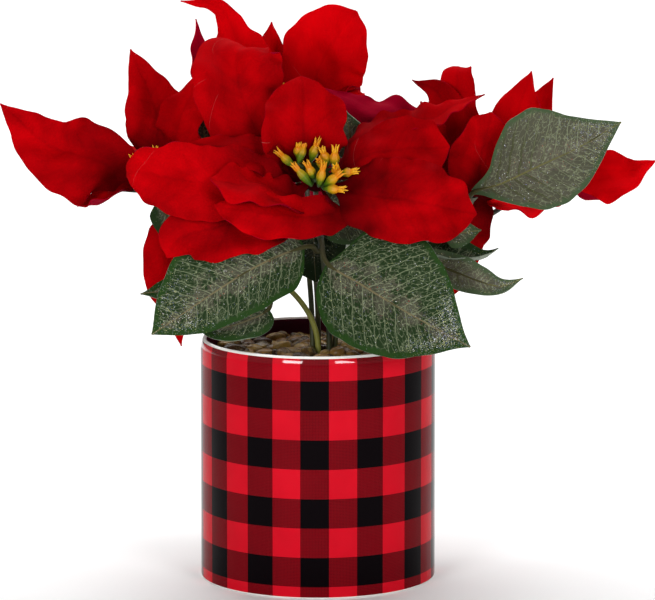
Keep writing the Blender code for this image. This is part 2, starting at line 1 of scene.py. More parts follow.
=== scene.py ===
"""Dresses the potted poinsettia: a glazed check pot, pebbles, stems, flower heads, buds and veined leaves.

Sizes are in millimetres, and MM turns them into metres. X runs to the right, Y to the back and Z up, and
the origin is the middle of the pot's underside.
"""

import logging
import math
import random
from collections.abc import Iterable, Sequence
from dataclasses import dataclass, field
from enum import Enum
from itertools import product

import bmesh
import bpy
import numpy as np
from mathutils import Matrix, Quaternion, Vector, geometry

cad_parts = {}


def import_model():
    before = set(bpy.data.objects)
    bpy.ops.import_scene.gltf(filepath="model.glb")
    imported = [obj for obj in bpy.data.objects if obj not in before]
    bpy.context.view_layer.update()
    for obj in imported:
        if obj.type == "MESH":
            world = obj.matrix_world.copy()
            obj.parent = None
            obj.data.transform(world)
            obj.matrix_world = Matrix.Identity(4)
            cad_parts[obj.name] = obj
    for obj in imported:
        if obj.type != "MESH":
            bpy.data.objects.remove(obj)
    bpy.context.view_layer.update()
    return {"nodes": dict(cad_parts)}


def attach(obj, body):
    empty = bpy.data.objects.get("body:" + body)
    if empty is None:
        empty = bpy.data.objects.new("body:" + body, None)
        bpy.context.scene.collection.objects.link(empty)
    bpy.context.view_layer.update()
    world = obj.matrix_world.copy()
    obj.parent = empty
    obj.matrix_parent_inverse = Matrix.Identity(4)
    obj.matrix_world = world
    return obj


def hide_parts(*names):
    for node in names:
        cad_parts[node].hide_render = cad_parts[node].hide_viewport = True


MM = 0.001
POT_RADIUS = 60.0
POT_HEIGHT = 124.0
POT_WALL = 4.0
STEMS_CENTRE = (3.0, -8.0)
FINE_STEPS = 24  # points to a span of a smooth curve
LOG = logging.getLogger("poinsettia")

Triple = tuple[float, float, float]
Pair = tuple[float, float]
Stop = tuple[float, Triple]


# Shader sums


class Wire:
    """A shader socket that takes part in sums: each operator adds the node that works it out."""

    def __init__(self, web: "Web", socket: bpy.types.NodeSocket) -> None:
        """Keeps the socket and the web that it belongs to."""
        self.web = web
        self.socket = socket

    def __add__(self, other: "Wire | float | Triple") -> "Wire":
        """Self plus other."""
        return self.web.sum("ADD", self, other)

    def __radd__(self, other: "float | Triple") -> "Wire":
        """Other plus self."""
        return self.web.sum("ADD", other, self)

    def __sub__(self, other: "Wire | float | Triple") -> "Wire":
        """Self less other."""
        return self.web.sum("SUBTRACT", self, other)

    def __rsub__(self, other: "float | Triple") -> "Wire":
        """Other less self."""
        return self.web.sum("SUBTRACT", other, self)

    def __mul__(self, other: "Wire | float | Triple") -> "Wire":
        """Self times other."""
        return self.web.sum("MULTIPLY", self, other)

    def __rmul__(self, other: "float | Triple") -> "Wire":
        """Other times self."""
        return self.web.sum("MULTIPLY", other, self)

    def __truediv__(self, other: "Wire | float | Triple") -> "Wire":
        """Self divided by other."""
        return self.web.sum("DIVIDE", self, other)

    def __rtruediv__(self, other: "float | Triple") -> "Wire":
        """Other divided by self."""
        return self.web.sum("DIVIDE", other, self)

    def __gt__(self, other: "Wire | float") -> "Wire":
        """One where self is over other, and otherwise nought."""
        return self.web.sum("GREATER_THAN", self, other)

    def __lt__(self, other: "Wire | float") -> "Wire":
        """One where self is under other, and otherwise nought."""
        return self.web.sum("LESS_THAN", self, other)

    def size(self) -> "Wire":
        """The value without its sign."""
        return self.web.sum("ABSOLUTE", self)

    def fraction(self) -> "Wire":
        """What is left of the value after its whole part."""
        return self.web.sum("FRACT", self)

    def wave(self) -> "Wire":
        """The value's sine."""
        return self.web.sum("SINE", self)

    def eased(self, low: float, high: float) -> "Wire":
        """Nought under low, one over high, and a smooth step between them."""
        settings = {"interpolation_type": "SMOOTHSTEP"}
        return self.web.node("MapRange", settings, {"Value": self, "From Min": low, "From Max": high})

    def parts(self) -> tuple["Wire", "Wire", "Wire"]:
        """The three parts of a vector."""
        node = self.web.node("SeparateXYZ", None, {0: self}).socket.node
        return tuple(Wire(self.web, node.outputs[k]) for k in range(3))


class Web:
    """The node tree of one material, which ends in a Principled shader."""

    def __init__(self, name: str) -> None:
        """Makes an empty material.

        Args:
            name: Its name.
        """
        self.material = bpy.data.materials.new(name)
        self.material.use_nodes = True
        self.tree = self.material.node_tree
        self.shader = self.tree.nodes["Principled BSDF"]

    def node(
        self,
        kind: str,
        settings: dict | None = None,
        sockets: dict | None = None,
        out: str | int = 0,
    ) -> Wire:
        """Adds a node.

        Args:
            kind: The node's type, without the words ShaderNode in front.
            settings: What is set on the node first. The key stops holds a ramp's colours.
            sockets: Values or wires, by a socket's identifier, name or number.
            out: The output that is wanted.

        Returns:
            The wire from that output.
        """
        made = self.tree.nodes.new(f"ShaderNode{kind}")
        for key, value in (settings or {}).items():
            if key == "stops":
                self.stops(made.color_ramp, value)
            else:
                setattr(made, key, value)
        for key, value in (sockets or {}).items():
            self.feed(self.socket(made.inputs, key), value)
        return Wire(self, self.socket(made.outputs, out))

    @staticmethod
    def stops(ramp: bpy.types.ColorRamp, stops: Sequence[Stop]) -> None:
        """Gives a ramp its stops.

        Args:
            ramp: The ramp, which has two stops.
            stops: The stops, as (place, colour).
        """
        for place, _ in stops[2:]:
            ramp.elements.new(place)
        for element, (place, colour) in zip(ramp.elements, stops):
            element.position = place
            element.color = (*colour, 1.0)

    @staticmethod
    def socket(sockets: Iterable, key: str | int) -> bpy.types.NodeSocket:
        """Finds a socket.

        Args:
            sockets: The inputs or the outputs of a node.
            key: The socket's number, identifier or name.

        Returns:
            The socket.
        """
        if isinstance(key, int):
            return sockets[key]
        return next((s for s in sockets if s.identifier == key), None) or sockets[key]

    def feed(self, socket: bpy.types.NodeSocket, value: "Wire | float | Triple") -> None:
        """Links a wire to a socket, or sets a plain value on it.

        Args:
            socket: The socket.
            value: The wire or the value.
        """
        if isinstance(value, Wire):
            self.tree.links.new(value.socket, socket)
        elif socket.type == "RGBA":
            socket.default_value = (*value, 1.0)
        elif socket.type == "VECTOR" and not isinstance(value, tuple):
            socket.default_value = (value, value, value)
        else:
            socket.default_value = value

    def sum(self, operation: str, *values: "Wire | float | Triple") -> Wire:
        """Works out an operation with a Math node, or with a Vector Math node where a value is a vector.

        Args:
            operation: The node's operation.
            values: What it is worked out on, in the order of the node's inputs.

        Returns:
            The wire from the node.
        """
        kind = "VectorMath" if any(self.is_vector(value) for value in values) else "Math"
        return self.node(kind, {"operation": operation}, dict(enumerate(values)))

    @staticmethod
    def is_vector(value: "Wire | float | Triple") -> bool:
        """Whether a value has three parts."""
        wired = isinstance(value, Wire) and value.socket.type in ("VECTOR", "RGBA")
        return wired or isinstance(value, tuple)

    def mix(self, factor: "Wire | float", low: "Wire | Triple", high: "Wire | Triple") -> Wire:
        """Goes from the low colour to the high one by factor."""
        sockets = {"Factor_Float": factor, "A_Color": low, "B_Color": high}
        return self.node("Mix", {"data_type": "RGBA"}, sockets, "Result_Color")

    def pack(self, x: "Wire | float", y: "Wire | float", z: "Wire | float" = 0.0) -> Wire:
        """A vector of three values."""
        return self.node("CombineXYZ", None, {0: x, 1: y, 2: z})

    def mark(self, name: str) -> Wire:
        """A vector that the mesh carries under that name."""
        return self.node("Attribute", {"attribute_name": name}, None, "Vector")

    def noise(self, place: Wire, scale: float, detail: float = 3.0, rough: float = 0.5) -> Wire:
        """Soft noise from nought to one at a place."""
        sockets = {"Vector": place, "Scale": scale, "Detail": detail, "Roughness": rough}
        return self.node("TexNoise", None, sockets, "Fac")

    def cells(self, place: Wire, scale: float, feature: str = "F1", out: str = "Distance") -> Wire:
        """Irregular cells at a place."""
        return self.node("TexVoronoi", {"feature": feature}, {"Vector": place, "Scale": scale}, out)

    def bump(self, height: Wire, reach: float, strength: float = 1.0) -> Wire:
        """A normal from a height that goes from nought to one over reach millimetres."""
        return self.node("Bump", None, {"Height": height, "Distance": reach * MM, "Strength": strength})

    def surface(self, **values: "Wire | float | Triple") -> bpy.types.Material:
        """Feeds the Principled shader.

        Args:
            values: A wire or a value for each socket, with _ for a space in the socket's name.

        Returns:
            The material.
        """
        for key, value in values.items():
            self.feed(self.shader.inputs[key.replace("_", " ")], value)
        return self.material


# Finishes. Colours are linear.

Field = np.ndarray | Wire  # a value at each point of a mesh, or over a surface


@dataclass(frozen=True)
class Veins:
    """Side veins that leave a midrib on both sides and bow towards the tip."""

    spacing: float
    sweep: float  # how far a vein runs on towards the tip for each millimetre outwards
    bow: float  # how much more it does so further out

    def run(self, across: Field, along: Field, away: Field) -> Field:
        """Where the side vein through a point leaves the midrib, half a step further on its left side.

        Args:
            across: The distance from the midrib, with a sign.
            along: The distance from the blade's foot.
            away: The distance from the midrib, without a sign.

        Returns:
            The distance from the blade's foot.
        """
        return along - away * self.sweep - away * away * self.bow + (across < 0.0) * (self.spacing / 2)


BRACT_VEINS = Veins(spacing=8.0, sweep=0.75, bow=0.006)
LEAF_VEINS = Veins(spacing=6.4, sweep=0.62, bow=0.004)


@dataclass(frozen=True)
class BractCloth:
    """Soft matt red cloth, crimson below, with painted shade towards its root and painted light and shade in
    its folds.
    """

    deep: Triple = (0.085, 0.0, 0.001)
    bright: Triple = (0.80, 0.0, 0.003)
    under: Triple = (0.25, 0.0, 0.014)
    # root: the painted shade at a bract's root and over the head's core
    root: Triple = (0.022, 0.0, 0.001)
    hair: Triple = (0.62, 0.28, 0.24)
    thread: float = 0.45  # from one thread to the next but one

    def material(self) -> bpy.types.Material:
        """Makes the cloth.

        Returns:
            The bracts' material.
        """
        web = Web("bract_cloth")
        lie, turn, look = web.mark("lie"), web.mark("turn"), web.mark("look")
        across, along, edge = lie.parts()
        share, under, number = turn.parts()
        tone, _, core = look.parts()
        flat = web.pack(across, along, number * 37.0)
        cloud = web.noise(flat, 0.055, 4.0, 0.6)
        grain = web.noise(flat, 0.9, 2.0)
        # Veins are a little darker than the cloth, and long soft streaks are painted light and shade of folds
        run = BRACT_VEINS.run(across, along, across.size()) + web.noise(flat, 0.12) * 2.0
        gap = ((run / BRACT_VEINS.spacing).fraction() - 0.5).size() * BRACT_VEINS.spacing
        vein = (1.0 - gap.eased(0.2, 1.6)) * edge.eased(3.0, 9.0) * 0.05
        rib = (1.0 - across.size().eased(0.2, 1.3)) * 0.11
        fold_shade = web.noise(web.pack(across * 0.075, along * 0.03, number * 19.0), 1.0, 1.0)
        # Painted light: the head's tone with the bract's glow, and more of it towards the tip, where the
        # head's middle no longer shades it
        light = cloud.eased(0.25, 0.75) * 0.15 + fold_shade.eased(0.3, 0.7) * 0.22 + tone * 0.6 + share * 0.16
        light = light + (grain - 0.5) * 0.08 - vein * 0.6 - rib * 0.5
        red = web.mix(light, self.deep, self.bright)
        red = web.mix(under * 0.85, red, self.under)
        # Painted shade towards each bract's root and over the head's core, where the middle of the head lies
        # in shadow
        red = web.mix((1.0 - share.eased(0.0, 0.62)) * 0.85, red, self.root)
        red = web.mix(core, red, self.root)
        # A few pale loose fibres
        loose = web.noise(flat, 0.022, 1.0)
        hair = 1.0 - (loose - 0.5).size().eased(0.0001, 0.0005)
        few = web.noise(flat, 0.045, 0.0).eased(0.52, 0.58)
        red = web.mix(hair * few * (1.0 - core) * 0.3, red, self.hair)
        height = self.weave(across, along) * 0.5 + grain * 0.6 - vein * 2.0
        return web.surface(
            Base_Color=red,
            Roughness=0.66 + grain * 0.2,
            Specular_IOR_Level=0.01,
            Normal=web.bump(height, 0.16, 0.5),
        )

    def weave(self, across: Wire, along: Wire) -> Wire:
        """Threads that cross over and under each other."""
        pitch = math.tau / self.thread
        return (across * pitch).wave() * (along * pitch).wave() * 0.5 + 0.5


@dataclass(frozen=True)
class LeafCloth:
    """Green coated cloth with a printed net of pale veins, plain edges, and glitter towards the tip."""

    green: Triple = (0.012, 0.028, 0.007)
    edge: Triple = (0.014, 0.043, 0.006)
    taupe: Triple = (0.068, 0.062, 0.044)
    pale: Triple = (0.31, 0.36, 0.21)
    speck: Triple = (0.30, 0.03, 0.02)
    rib: Triple = (0.16, 0.13, 0.065)
    rib_olive: Triple = (0.085, 0.095, 0.012)
    # dark: the painted shade over a leaf whose tone is below nought
    dark: Triple = (0.006, 0.010, 0.004)
    under: Triple = (0.27, 0.31, 0.24)
    faded: Triple = (0.118, 0.104, 0.078)
    faded_edge: Triple = (0.078, 0.108, 0.058)
    # foot_shade: painted shade towards the foot of a faded leaf
    foot_shade: Triple = (0.052, 0.048, 0.030)
    olive: Triple = (0.034, 0.037, 0.008)
    stalk: Triple = (0.018, 0.024, 0.006)
    stalk_dry: Triple = (0.075, 0.062, 0.024)
    silver: Triple = (0.78, 0.80, 0.80)
    gilt: Triple = (0.75, 0.74, 0.32)
    blue: Triple = (0.18, 0.20, 0.34)

    def material(self) -> bpy.types.Material:
        """Makes the cloth.

        Returns:
            The leaves' material.
        """
        web = Web("leaf_cloth")
        lie, turn, look = web.mark("lie"), web.mark("turn"), web.mark("look")
        across, along, edge = lie.parts()
        share, under, number = turn.parts()
        tone, glitter, stalk = look.parts()
        away = across.size()
        flat = web.pack(across, along, number * 41.0)
        soft, fine = web.noise(flat, 0.13, 3.0, 0.6), web.noise(flat, 0.8, 2.0, 0.6)
        inside = (edge + (web.noise(flat, 0.35, 2.0) - 0.5) * 5.0 + tone * 1.6).eased(1.9, 4.8)
        # The printed side veins, and the finer net between them
        run = LEAF_VEINS.run(across, along, away) + (web.noise(flat, 0.16, 1.0) - 0.5) * 2.4
        gap = ((run / LEAF_VEINS.spacing).fraction() - 0.5).size() * LEAF_VEINS.spacing
        vein = 1.0 - gap.eased(0.08, 0.34)
        bent = web.pack(run * 1.1 + (fine - 0.5) * 1.8, away + (soft - 0.5) * 1.8, number * 7.0)
        net = 1.0 - web.cells(bent, 0.36, "DISTANCE_TO_EDGE").eased(0.02, 0.075)
        branch = 1.0 - web.cells(bent, 0.85, "DISTANCE_TO_EDGE").eased(0.03, 0.10)
        net = net * (0.2 + fine.eased(0.4, 0.65) * 0.7) + branch * soft.eased(0.48, 0.66) * 0.42
        printed = web.sum("MAXIMUM", vein * (0.65 + fine * 0.5), net) * inside
        rib = 1.0 - (away + share * 0.3).eased(0.35, 0.75)
        # The ground under the print, worn to taupe beside the midrib and greyer on a faded leaf, with painted
        # shade towards a faded leaf's foot
        near = 1.0 - (away / (edge + away + 0.1)).eased(0.1, 0.85)
        worn = (near * 0.5 + soft * 0.9 + (fine - 0.5) * 0.5).eased(0.78, 0.96)
        ground = web.mix(worn * 0.8, self.green, self.taupe)
        ground = web.mix(tone, ground, self.faded)
        ground = web.mix((1.0 - share.eased(0.15, 0.6)) * tone * 0.9, ground, self.foot_shade)
        ground = web.mix(inside, web.mix(tone, self.edge, self.faded_edge), ground)
        spot, _, _ = web.cells(flat, 1.3, "F1", "Color").parts()
        spot = (spot > 0.975) * (1.0 - web.cells(flat, 1.3).eased(0.3, 0.4)) * worn
        ground = web.mix(spot * 0.8, ground, self.speck)
        # The print itself, which turns dark near the foot of a faded leaf; a leaf with a tone below nought is
        # painted over with shade
        near_foot = 1.0 - share.eased(0.35, 0.65)
        pinch = (1.0 - gap.eased(0.3, 0.9)) * tone * near_foot * soft.eased(0.2, 0.5) * 1.3
        colour = web.mix(printed * (0.6 - tone * 0.4 + tone * share * 0.5), ground, self.pale)
        colour = web.mix(pinch * inside, colour, self.olive)
        # Painted shade all over a leaf whose tone is below nought
        colour = web.mix(tone * -0.75, colour, self.dark)
        rib_colour = web.mix(tone, self.rib, self.rib_olive)
        colour = web.mix(rib * 0.9 + tone * 0.5 * (tone < 0.0), colour, rib_colour)
        colour = web.mix(under * 0.9, colour, web.mix(vein * 0.5, self.under, self.green))
        # Glitter, and then the stalk, which has none
        flake, hue, tilt = self.flakes(web, flat, share, glitter, soft)
        flake = flake * (1.0 - stalk) * (0.25 + inside * 0.75)
        sparkle = web.mix(hue.eased(0.25, 0.35), self.blue, self.silver)
        sparkle = web.mix(hue.eased(0.62, 0.7), sparkle, self.gilt)
        colour = web.mix(flake, colour, sparkle)
        colour = web.mix(stalk, colour, web.mix(soft, self.stalk, self.stalk_dry))
        thread = (across * 14.0).wave() * (along * 14.0).wave()
        height = thread * 0.12 + fine * 0.3 + printed * 0.55 + vein * 0.25
        normal = web.bump(height, 0.22, 0.8)
        normal = normal + tilt * (flake * 0.9)
        return web.surface(
            Base_Color=colour,
            Metallic=flake * 0.85,
            Roughness=0.58 - flake * 0.34 - printed * 0.12,
            Specular_IOR_Level=0.08,
            Normal=web.sum("NORMALIZE", normal),
        )

    def flakes(
        self, web: Web, flat: Wire, share: Wire, glitter: Wire, soft: Wire
    ) -> tuple[Wire, Wire, Wire]:
        """Scatters specks of glitter, thicker towards the tip.

        Args:
            web: The leaves' node tree.
            flat: The place on the flat blade.
            share: The share of the blade's length.
            glitter: How much glitter the leaf has.
            soft: Noise that makes the glitter patchy.

        Returns:
            Where the specks are, their hue from nought to one, and the way they tilt.
        """
        chance = web.cells(flat, 2.1, "F1", "Color")
        pick, hue, _ = chance.parts()
        core = 1.0 - web.cells(flat, 2.1).eased(0.3, 0.5)
        thick = (share + (soft - 0.5) * 0.35).eased(0.62, 0.86) * glitter
        flake = (pick > (0.965 - thick * 0.62)) * core
        return flake, hue, (chance - (0.5, 0.5, 0.5)) * 1.6


@dataclass(frozen=True)
class CheckGlaze:
    """Glossy glaze with a woven check outside, a plain pale lip, and a dark inside.

    The check has its columns round the pot, and its rows are counted from a dark one's foot.
    """

    red: Triple = (0.60, 0.005, 0.016)
    black: Triple = (0.0022, 0.0009, 0.0016)
    lip: Triple = (0.90, 0.88, 0.85)
    inside: Triple = (0.045, 0.006, 0.014)
    radius: float = POT_RADIUS
    across: int = 13  # pairs of columns round the pot
    turn: float = -1.5  # degrees from the front to a dark column's edge
    rows: float = 30.1  # the height of a pair of rows
    row_foot: float = 96.6
    lip_foot: float = POT_HEIGHT - 1.1
    lip_width: float = POT_WALL / 2
    dark_to: float = POT_HEIGHT - 0.9
    dark_from_wall: float = 3.0
    bare_foot: float = 0.9
    coat_from: Pair = (POT_HEIGHT - 4.5, POT_HEIGHT - 3.9)  # where the clear coat of the rim starts
    coat_width: float = 2.6
    dot: float = 1.5

    def material(self) -> bpy.types.Material:
        """Makes the glaze.

        Returns:
            The pot's material.
        """
        web = Web("check_glaze")
        place = web.node("TexCoord", None, None, "Object") / MM
        x, y, z = place.parts()
        angle = web.sum("ARCTAN2", x, y * -1.0)
        reach = web.sum("LENGTH", web.pack(x, y)).socket.node.outputs["Value"]
        reach = Wire(web, reach)
        step = math.tau / self.across
        column = ((angle - math.radians(self.turn)) / step + 100.25).fraction() < 0.5
        row = ((z - self.row_foot) / self.rows + 10.0).fraction() < 0.5
        both, one = column * row, (column - row).size()
        printed = self.halftone(angle * self.radius, z)
        dark = web.sum("MAXIMUM", both, one * printed)
        cloud = web.noise(place, 0.05)
        red = web.mix(cloud.eased(0.3, 0.7), self.red, tuple(c * 0.9 for c in self.red))
        colour = web.mix(dark, red, self.black)
        lip = web.sum("MAXIMUM", z > self.lip_foot, reach < self.radius - self.lip_width)
        colour = web.mix(lip, colour, self.lip)
        inside = (reach < self.radius - self.dark_from_wall) * (z < self.dark_to)
        colour = web.mix(inside, colour, self.inside)
        foot = (z < self.bare_foot) * (1.0 - lip)
        colour = web.mix(foot, colour, self.lip)
        ripple = web.noise(place, 0.035, 2.0)
        return web.surface(
            Base_Color=colour,
            Roughness=0.06 + foot * 0.5 + web.noise(place, 0.4) * 0.03,
            IOR=1.1,
            Coat_Weight=z.eased(*self.coat_from) * (reach > self.radius - self.coat_width),
            Coat_Roughness=0.05,
            Normal=web.bump(ripple, 0.5, 0.25),
        )

    def halftone(self, around: Wire, z: Wire) -> Wire:
        """Works out the slanting dots that are printed where only one of the two bands is dark.

        Args:
            around: The distance round the pot.
            z: The height.

        Returns:
            How dark the print is.
        """
        pitch = math.tau / self.dot
        dots = ((around + z) * pitch).wave() * ((around - z) * pitch).wave()
        return 0.66 + (dots > 0.0) * 0.16


@dataclass(frozen=True)
class PebbleStone:
    """Tan, brown and grey pebbles with a wet look."""

    stops: tuple[Stop, ...] = (
        (0.0, (0.020, 0.010, 0.005)),
        (0.22, (0.07, 0.030, 0.010)),
        (0.45, (0.24, 0.125, 0.026)),
        (0.62, (0.05, 0.030, 0.012)),
        (0.8, (0.38, 0.24, 0.055)),
        (1.0, (0.12, 0.075, 0.032)),
    )
    fleck: Triple = (0.07, 0.04, 0.025)
    band: Triple = (0.40, 0.30, 0.14)
    # bed: the nearly black disc under the pebbles, painted shade in the gaps between them
    bed: Triple = (0.012, 0.008, 0.006)

    def material(self) -> bpy.types.Material:
        """Makes the stone.

        Returns:
            The pebbles' material.
        """
        web = Web("pebble_stone")
        place = web.mark("lie")
        tone, dark, _ = web.mark("look").parts()
        cloud, fleck = web.noise(place, 0.22, 5.0, 0.65), web.noise(place, 2.0, 3.0, 0.7)
        hue = tone + (cloud - 0.5) * 0.5
        colour = web.node("ValToRGB", {"stops": self.stops}, {"Fac": hue})
        colour = web.mix(fleck.eased(0.5, 0.75) * 0.45, colour, self.fleck)
        band = ((web.noise(place, 0.1) * 9.0).fraction() - 0.5).size().eased(0.0, 0.12)
        colour = web.mix((1.0 - band) * 0.15, colour, self.band)
        # Painted shade: the bed disc shows nearly black in the gaps
        colour = web.mix(dark, colour, self.bed)
        return web.surface(
            Base_Color=colour,
            Roughness=0.13 + fleck * 0.2 + dark * 0.5,
            Specular_IOR_Level=0.28,
            Normal=web.bump(cloud * 0.7 + fleck * 0.3, 0.5, 0.7),
        )


@dataclass(frozen=True)
class StemPlastic:
    """Satin green stems, from nearly black to yellow green."""

    dark: Triple = (0.010, 0.016, 0.006)
    light: Triple = (0.30, 0.30, 0.050)

    def material(self) -> bpy.types.Material:
        """Makes the plastic.

        Returns:
            The stems' material.
        """
        web = Web("stem_plastic")
        place = web.mark("lie")
        _, along, _ = place.parts()
        tone, _, _ = web.mark("look").parts()
        cloud = web.noise(place, 0.12, 3.0)
        colour = web.mix(tone + (cloud - 0.5) * 0.35, self.dark, self.light)
        ring = (along * 2.2 + cloud * 3.0).wave() * 0.5 + 0.5
        return web.surface(
            Base_Color=colour,
            Roughness=0.38 + cloud * 0.25,
            Normal=web.bump(ring * 0.3 + cloud, 0.15, 0.6),
        )


@dataclass(frozen=True)
class BudPlastic:
    """Moulded buds, green at the foot and yellow to orange at the crown."""

    stops: tuple[Stop, ...] = (
        (0.0, (0.022, 0.075, 0.004)),
        (0.3, (0.11, 0.17, 0.005)),
        (0.5, (0.42, 0.26, 0.005)),
        (0.72, (0.58, 0.23, 0.004)),
        (0.9, (0.64, 0.20, 0.004)),
        (1.0, (0.74, 0.36, 0.012)),
    )
    stalk: Triple = (0.030, 0.055, 0.010)

    def material(self) -> bpy.types.Material:
        """Makes the plastic.

        Returns:
            The buds' material.
        """
        web = Web("bud_plastic")
        place = web.mark("lie")
        share, _, _ = web.mark("turn").parts()
        tone, _, stalk = web.mark("look").parts()
        cloud = web.noise(place, 0.5, 3.0)
        hue = share * (0.55 + tone * 0.55) + (cloud - 0.5) * 0.3
        colour = web.node("ValToRGB", {"stops": self.stops}, {"Fac": hue})
        colour = web.mix(stalk, colour, self.stalk)
        return web.surface(
            Base_Color=colour,
            Roughness=0.3 + cloud * 0.2,
            Specular_IOR_Level=0.22,
            Normal=web.bump(cloud, 0.35, 0.6),
        )


@dataclass(frozen=True)
class PlainStuff:
    """A plain stuff with soft mottling: the foam in the pot and the floor."""

    name: str
    low: Triple
    high: Triple
    rough: float
    grain: float
    relief: float

    def material(self) -> bpy.types.Material:
        """Makes the stuff.

        Returns:
            Its material.
        """
        web = Web(self.name)
        place = web.node("TexCoord", None, None, "Object") / MM
        cloud = web.noise(place, self.grain, 4.0)
        return web.surface(
            Base_Color=web.mix(cloud, self.low, self.high),
            Roughness=self.rough,
            Normal=web.bump(cloud, self.relief, 0.5),
        )


# Mesh work


def smooth_curve(points: np.ndarray) -> np.ndarray:
    """Draws a smooth curve, with FINE_STEPS points to a span.

    Args:
        points: The points that it goes through.

    Returns:
        The points on it.
    """
    ends = np.vstack([2 * points[0] - points[1], points, 2 * points[-1] - points[-2]])
    t = (np.arange(FINE_STEPS) / FINE_STEPS)[:, None]
    spans = []
    for a, b, c, d in zip(ends, ends[1:], ends[2:], ends[3:]):
        bend = (2 * a - 5 * b + 4 * c - d) * t**2 + (3 * b - a - 3 * c + d) * t**3
        spans.append((2 * b + (c - a) * t + bend) / 2)
    return np.vstack([*spans, points[-1:]])


def reaches(line: np.ndarray) -> np.ndarray:
    """The length along a line up to each of its points."""
    return np.concatenate([[0.0], np.cumsum(np.linalg.norm(np.diff(line, axis=0), axis=1))])


def unit(vectors: np.ndarray) -> np.ndarray:
    """Vectors brought to length one."""
    return vectors / np.maximum(np.linalg.norm(vectors, axis=-1, keepdims=True), 1e-9)


def carried_frames(line: np.ndarray, face: Sequence[float], twist: float) -> tuple[np.ndarray, np.ndarray]:
    """The side and the normal at each point of a line, carried along it without turning, then twisted.

    Args:
        line: The points.
        face: The way the upper side looks in the middle.
        twist: Degrees from the first point to the last.

    Returns:
        The sides and the normals.
    """
    last = len(line) - 1
    points = [Vector(p) for p in line]
    tangents = [(points[min(i + 1, last)] - points[max(i - 1, 0)]).normalized() for i in range(last + 1)]
    normals = [None] * (last + 1)
    middle = last // 2
    start = Vector(face)
    normals[middle] = (start - tangents[middle] * start.dot(tangents[middle])).normalized()
    for order in (range(middle + 1, last + 1), range(middle - 1, -1, -1)):
        before = middle
        for i in order:
            turned = tangents[before].rotation_difference(tangents[i]) @ normals[before]
            normals[i] = (turned - tangents[i] * turned.dot(tangents[i])).normalized()
            before = i
    sides = []
    for i, tangent in enumerate(tangents):
        normals[i] = Quaternion(tangent, math.radians(twist) * (i / last - 0.5)) @ normals[i]
        sides.append(tangent.cross(normals[i]))
    return np.array(sides), np.array(normals)


def at_shares(line: np.ndarray, reach: np.ndarray, places: np.ndarray) -> np.ndarray:
    """The values of a line at lengths along it."""
    return np.stack([np.interp(places, reach, line[:, k]) for k in range(3)], axis=1)


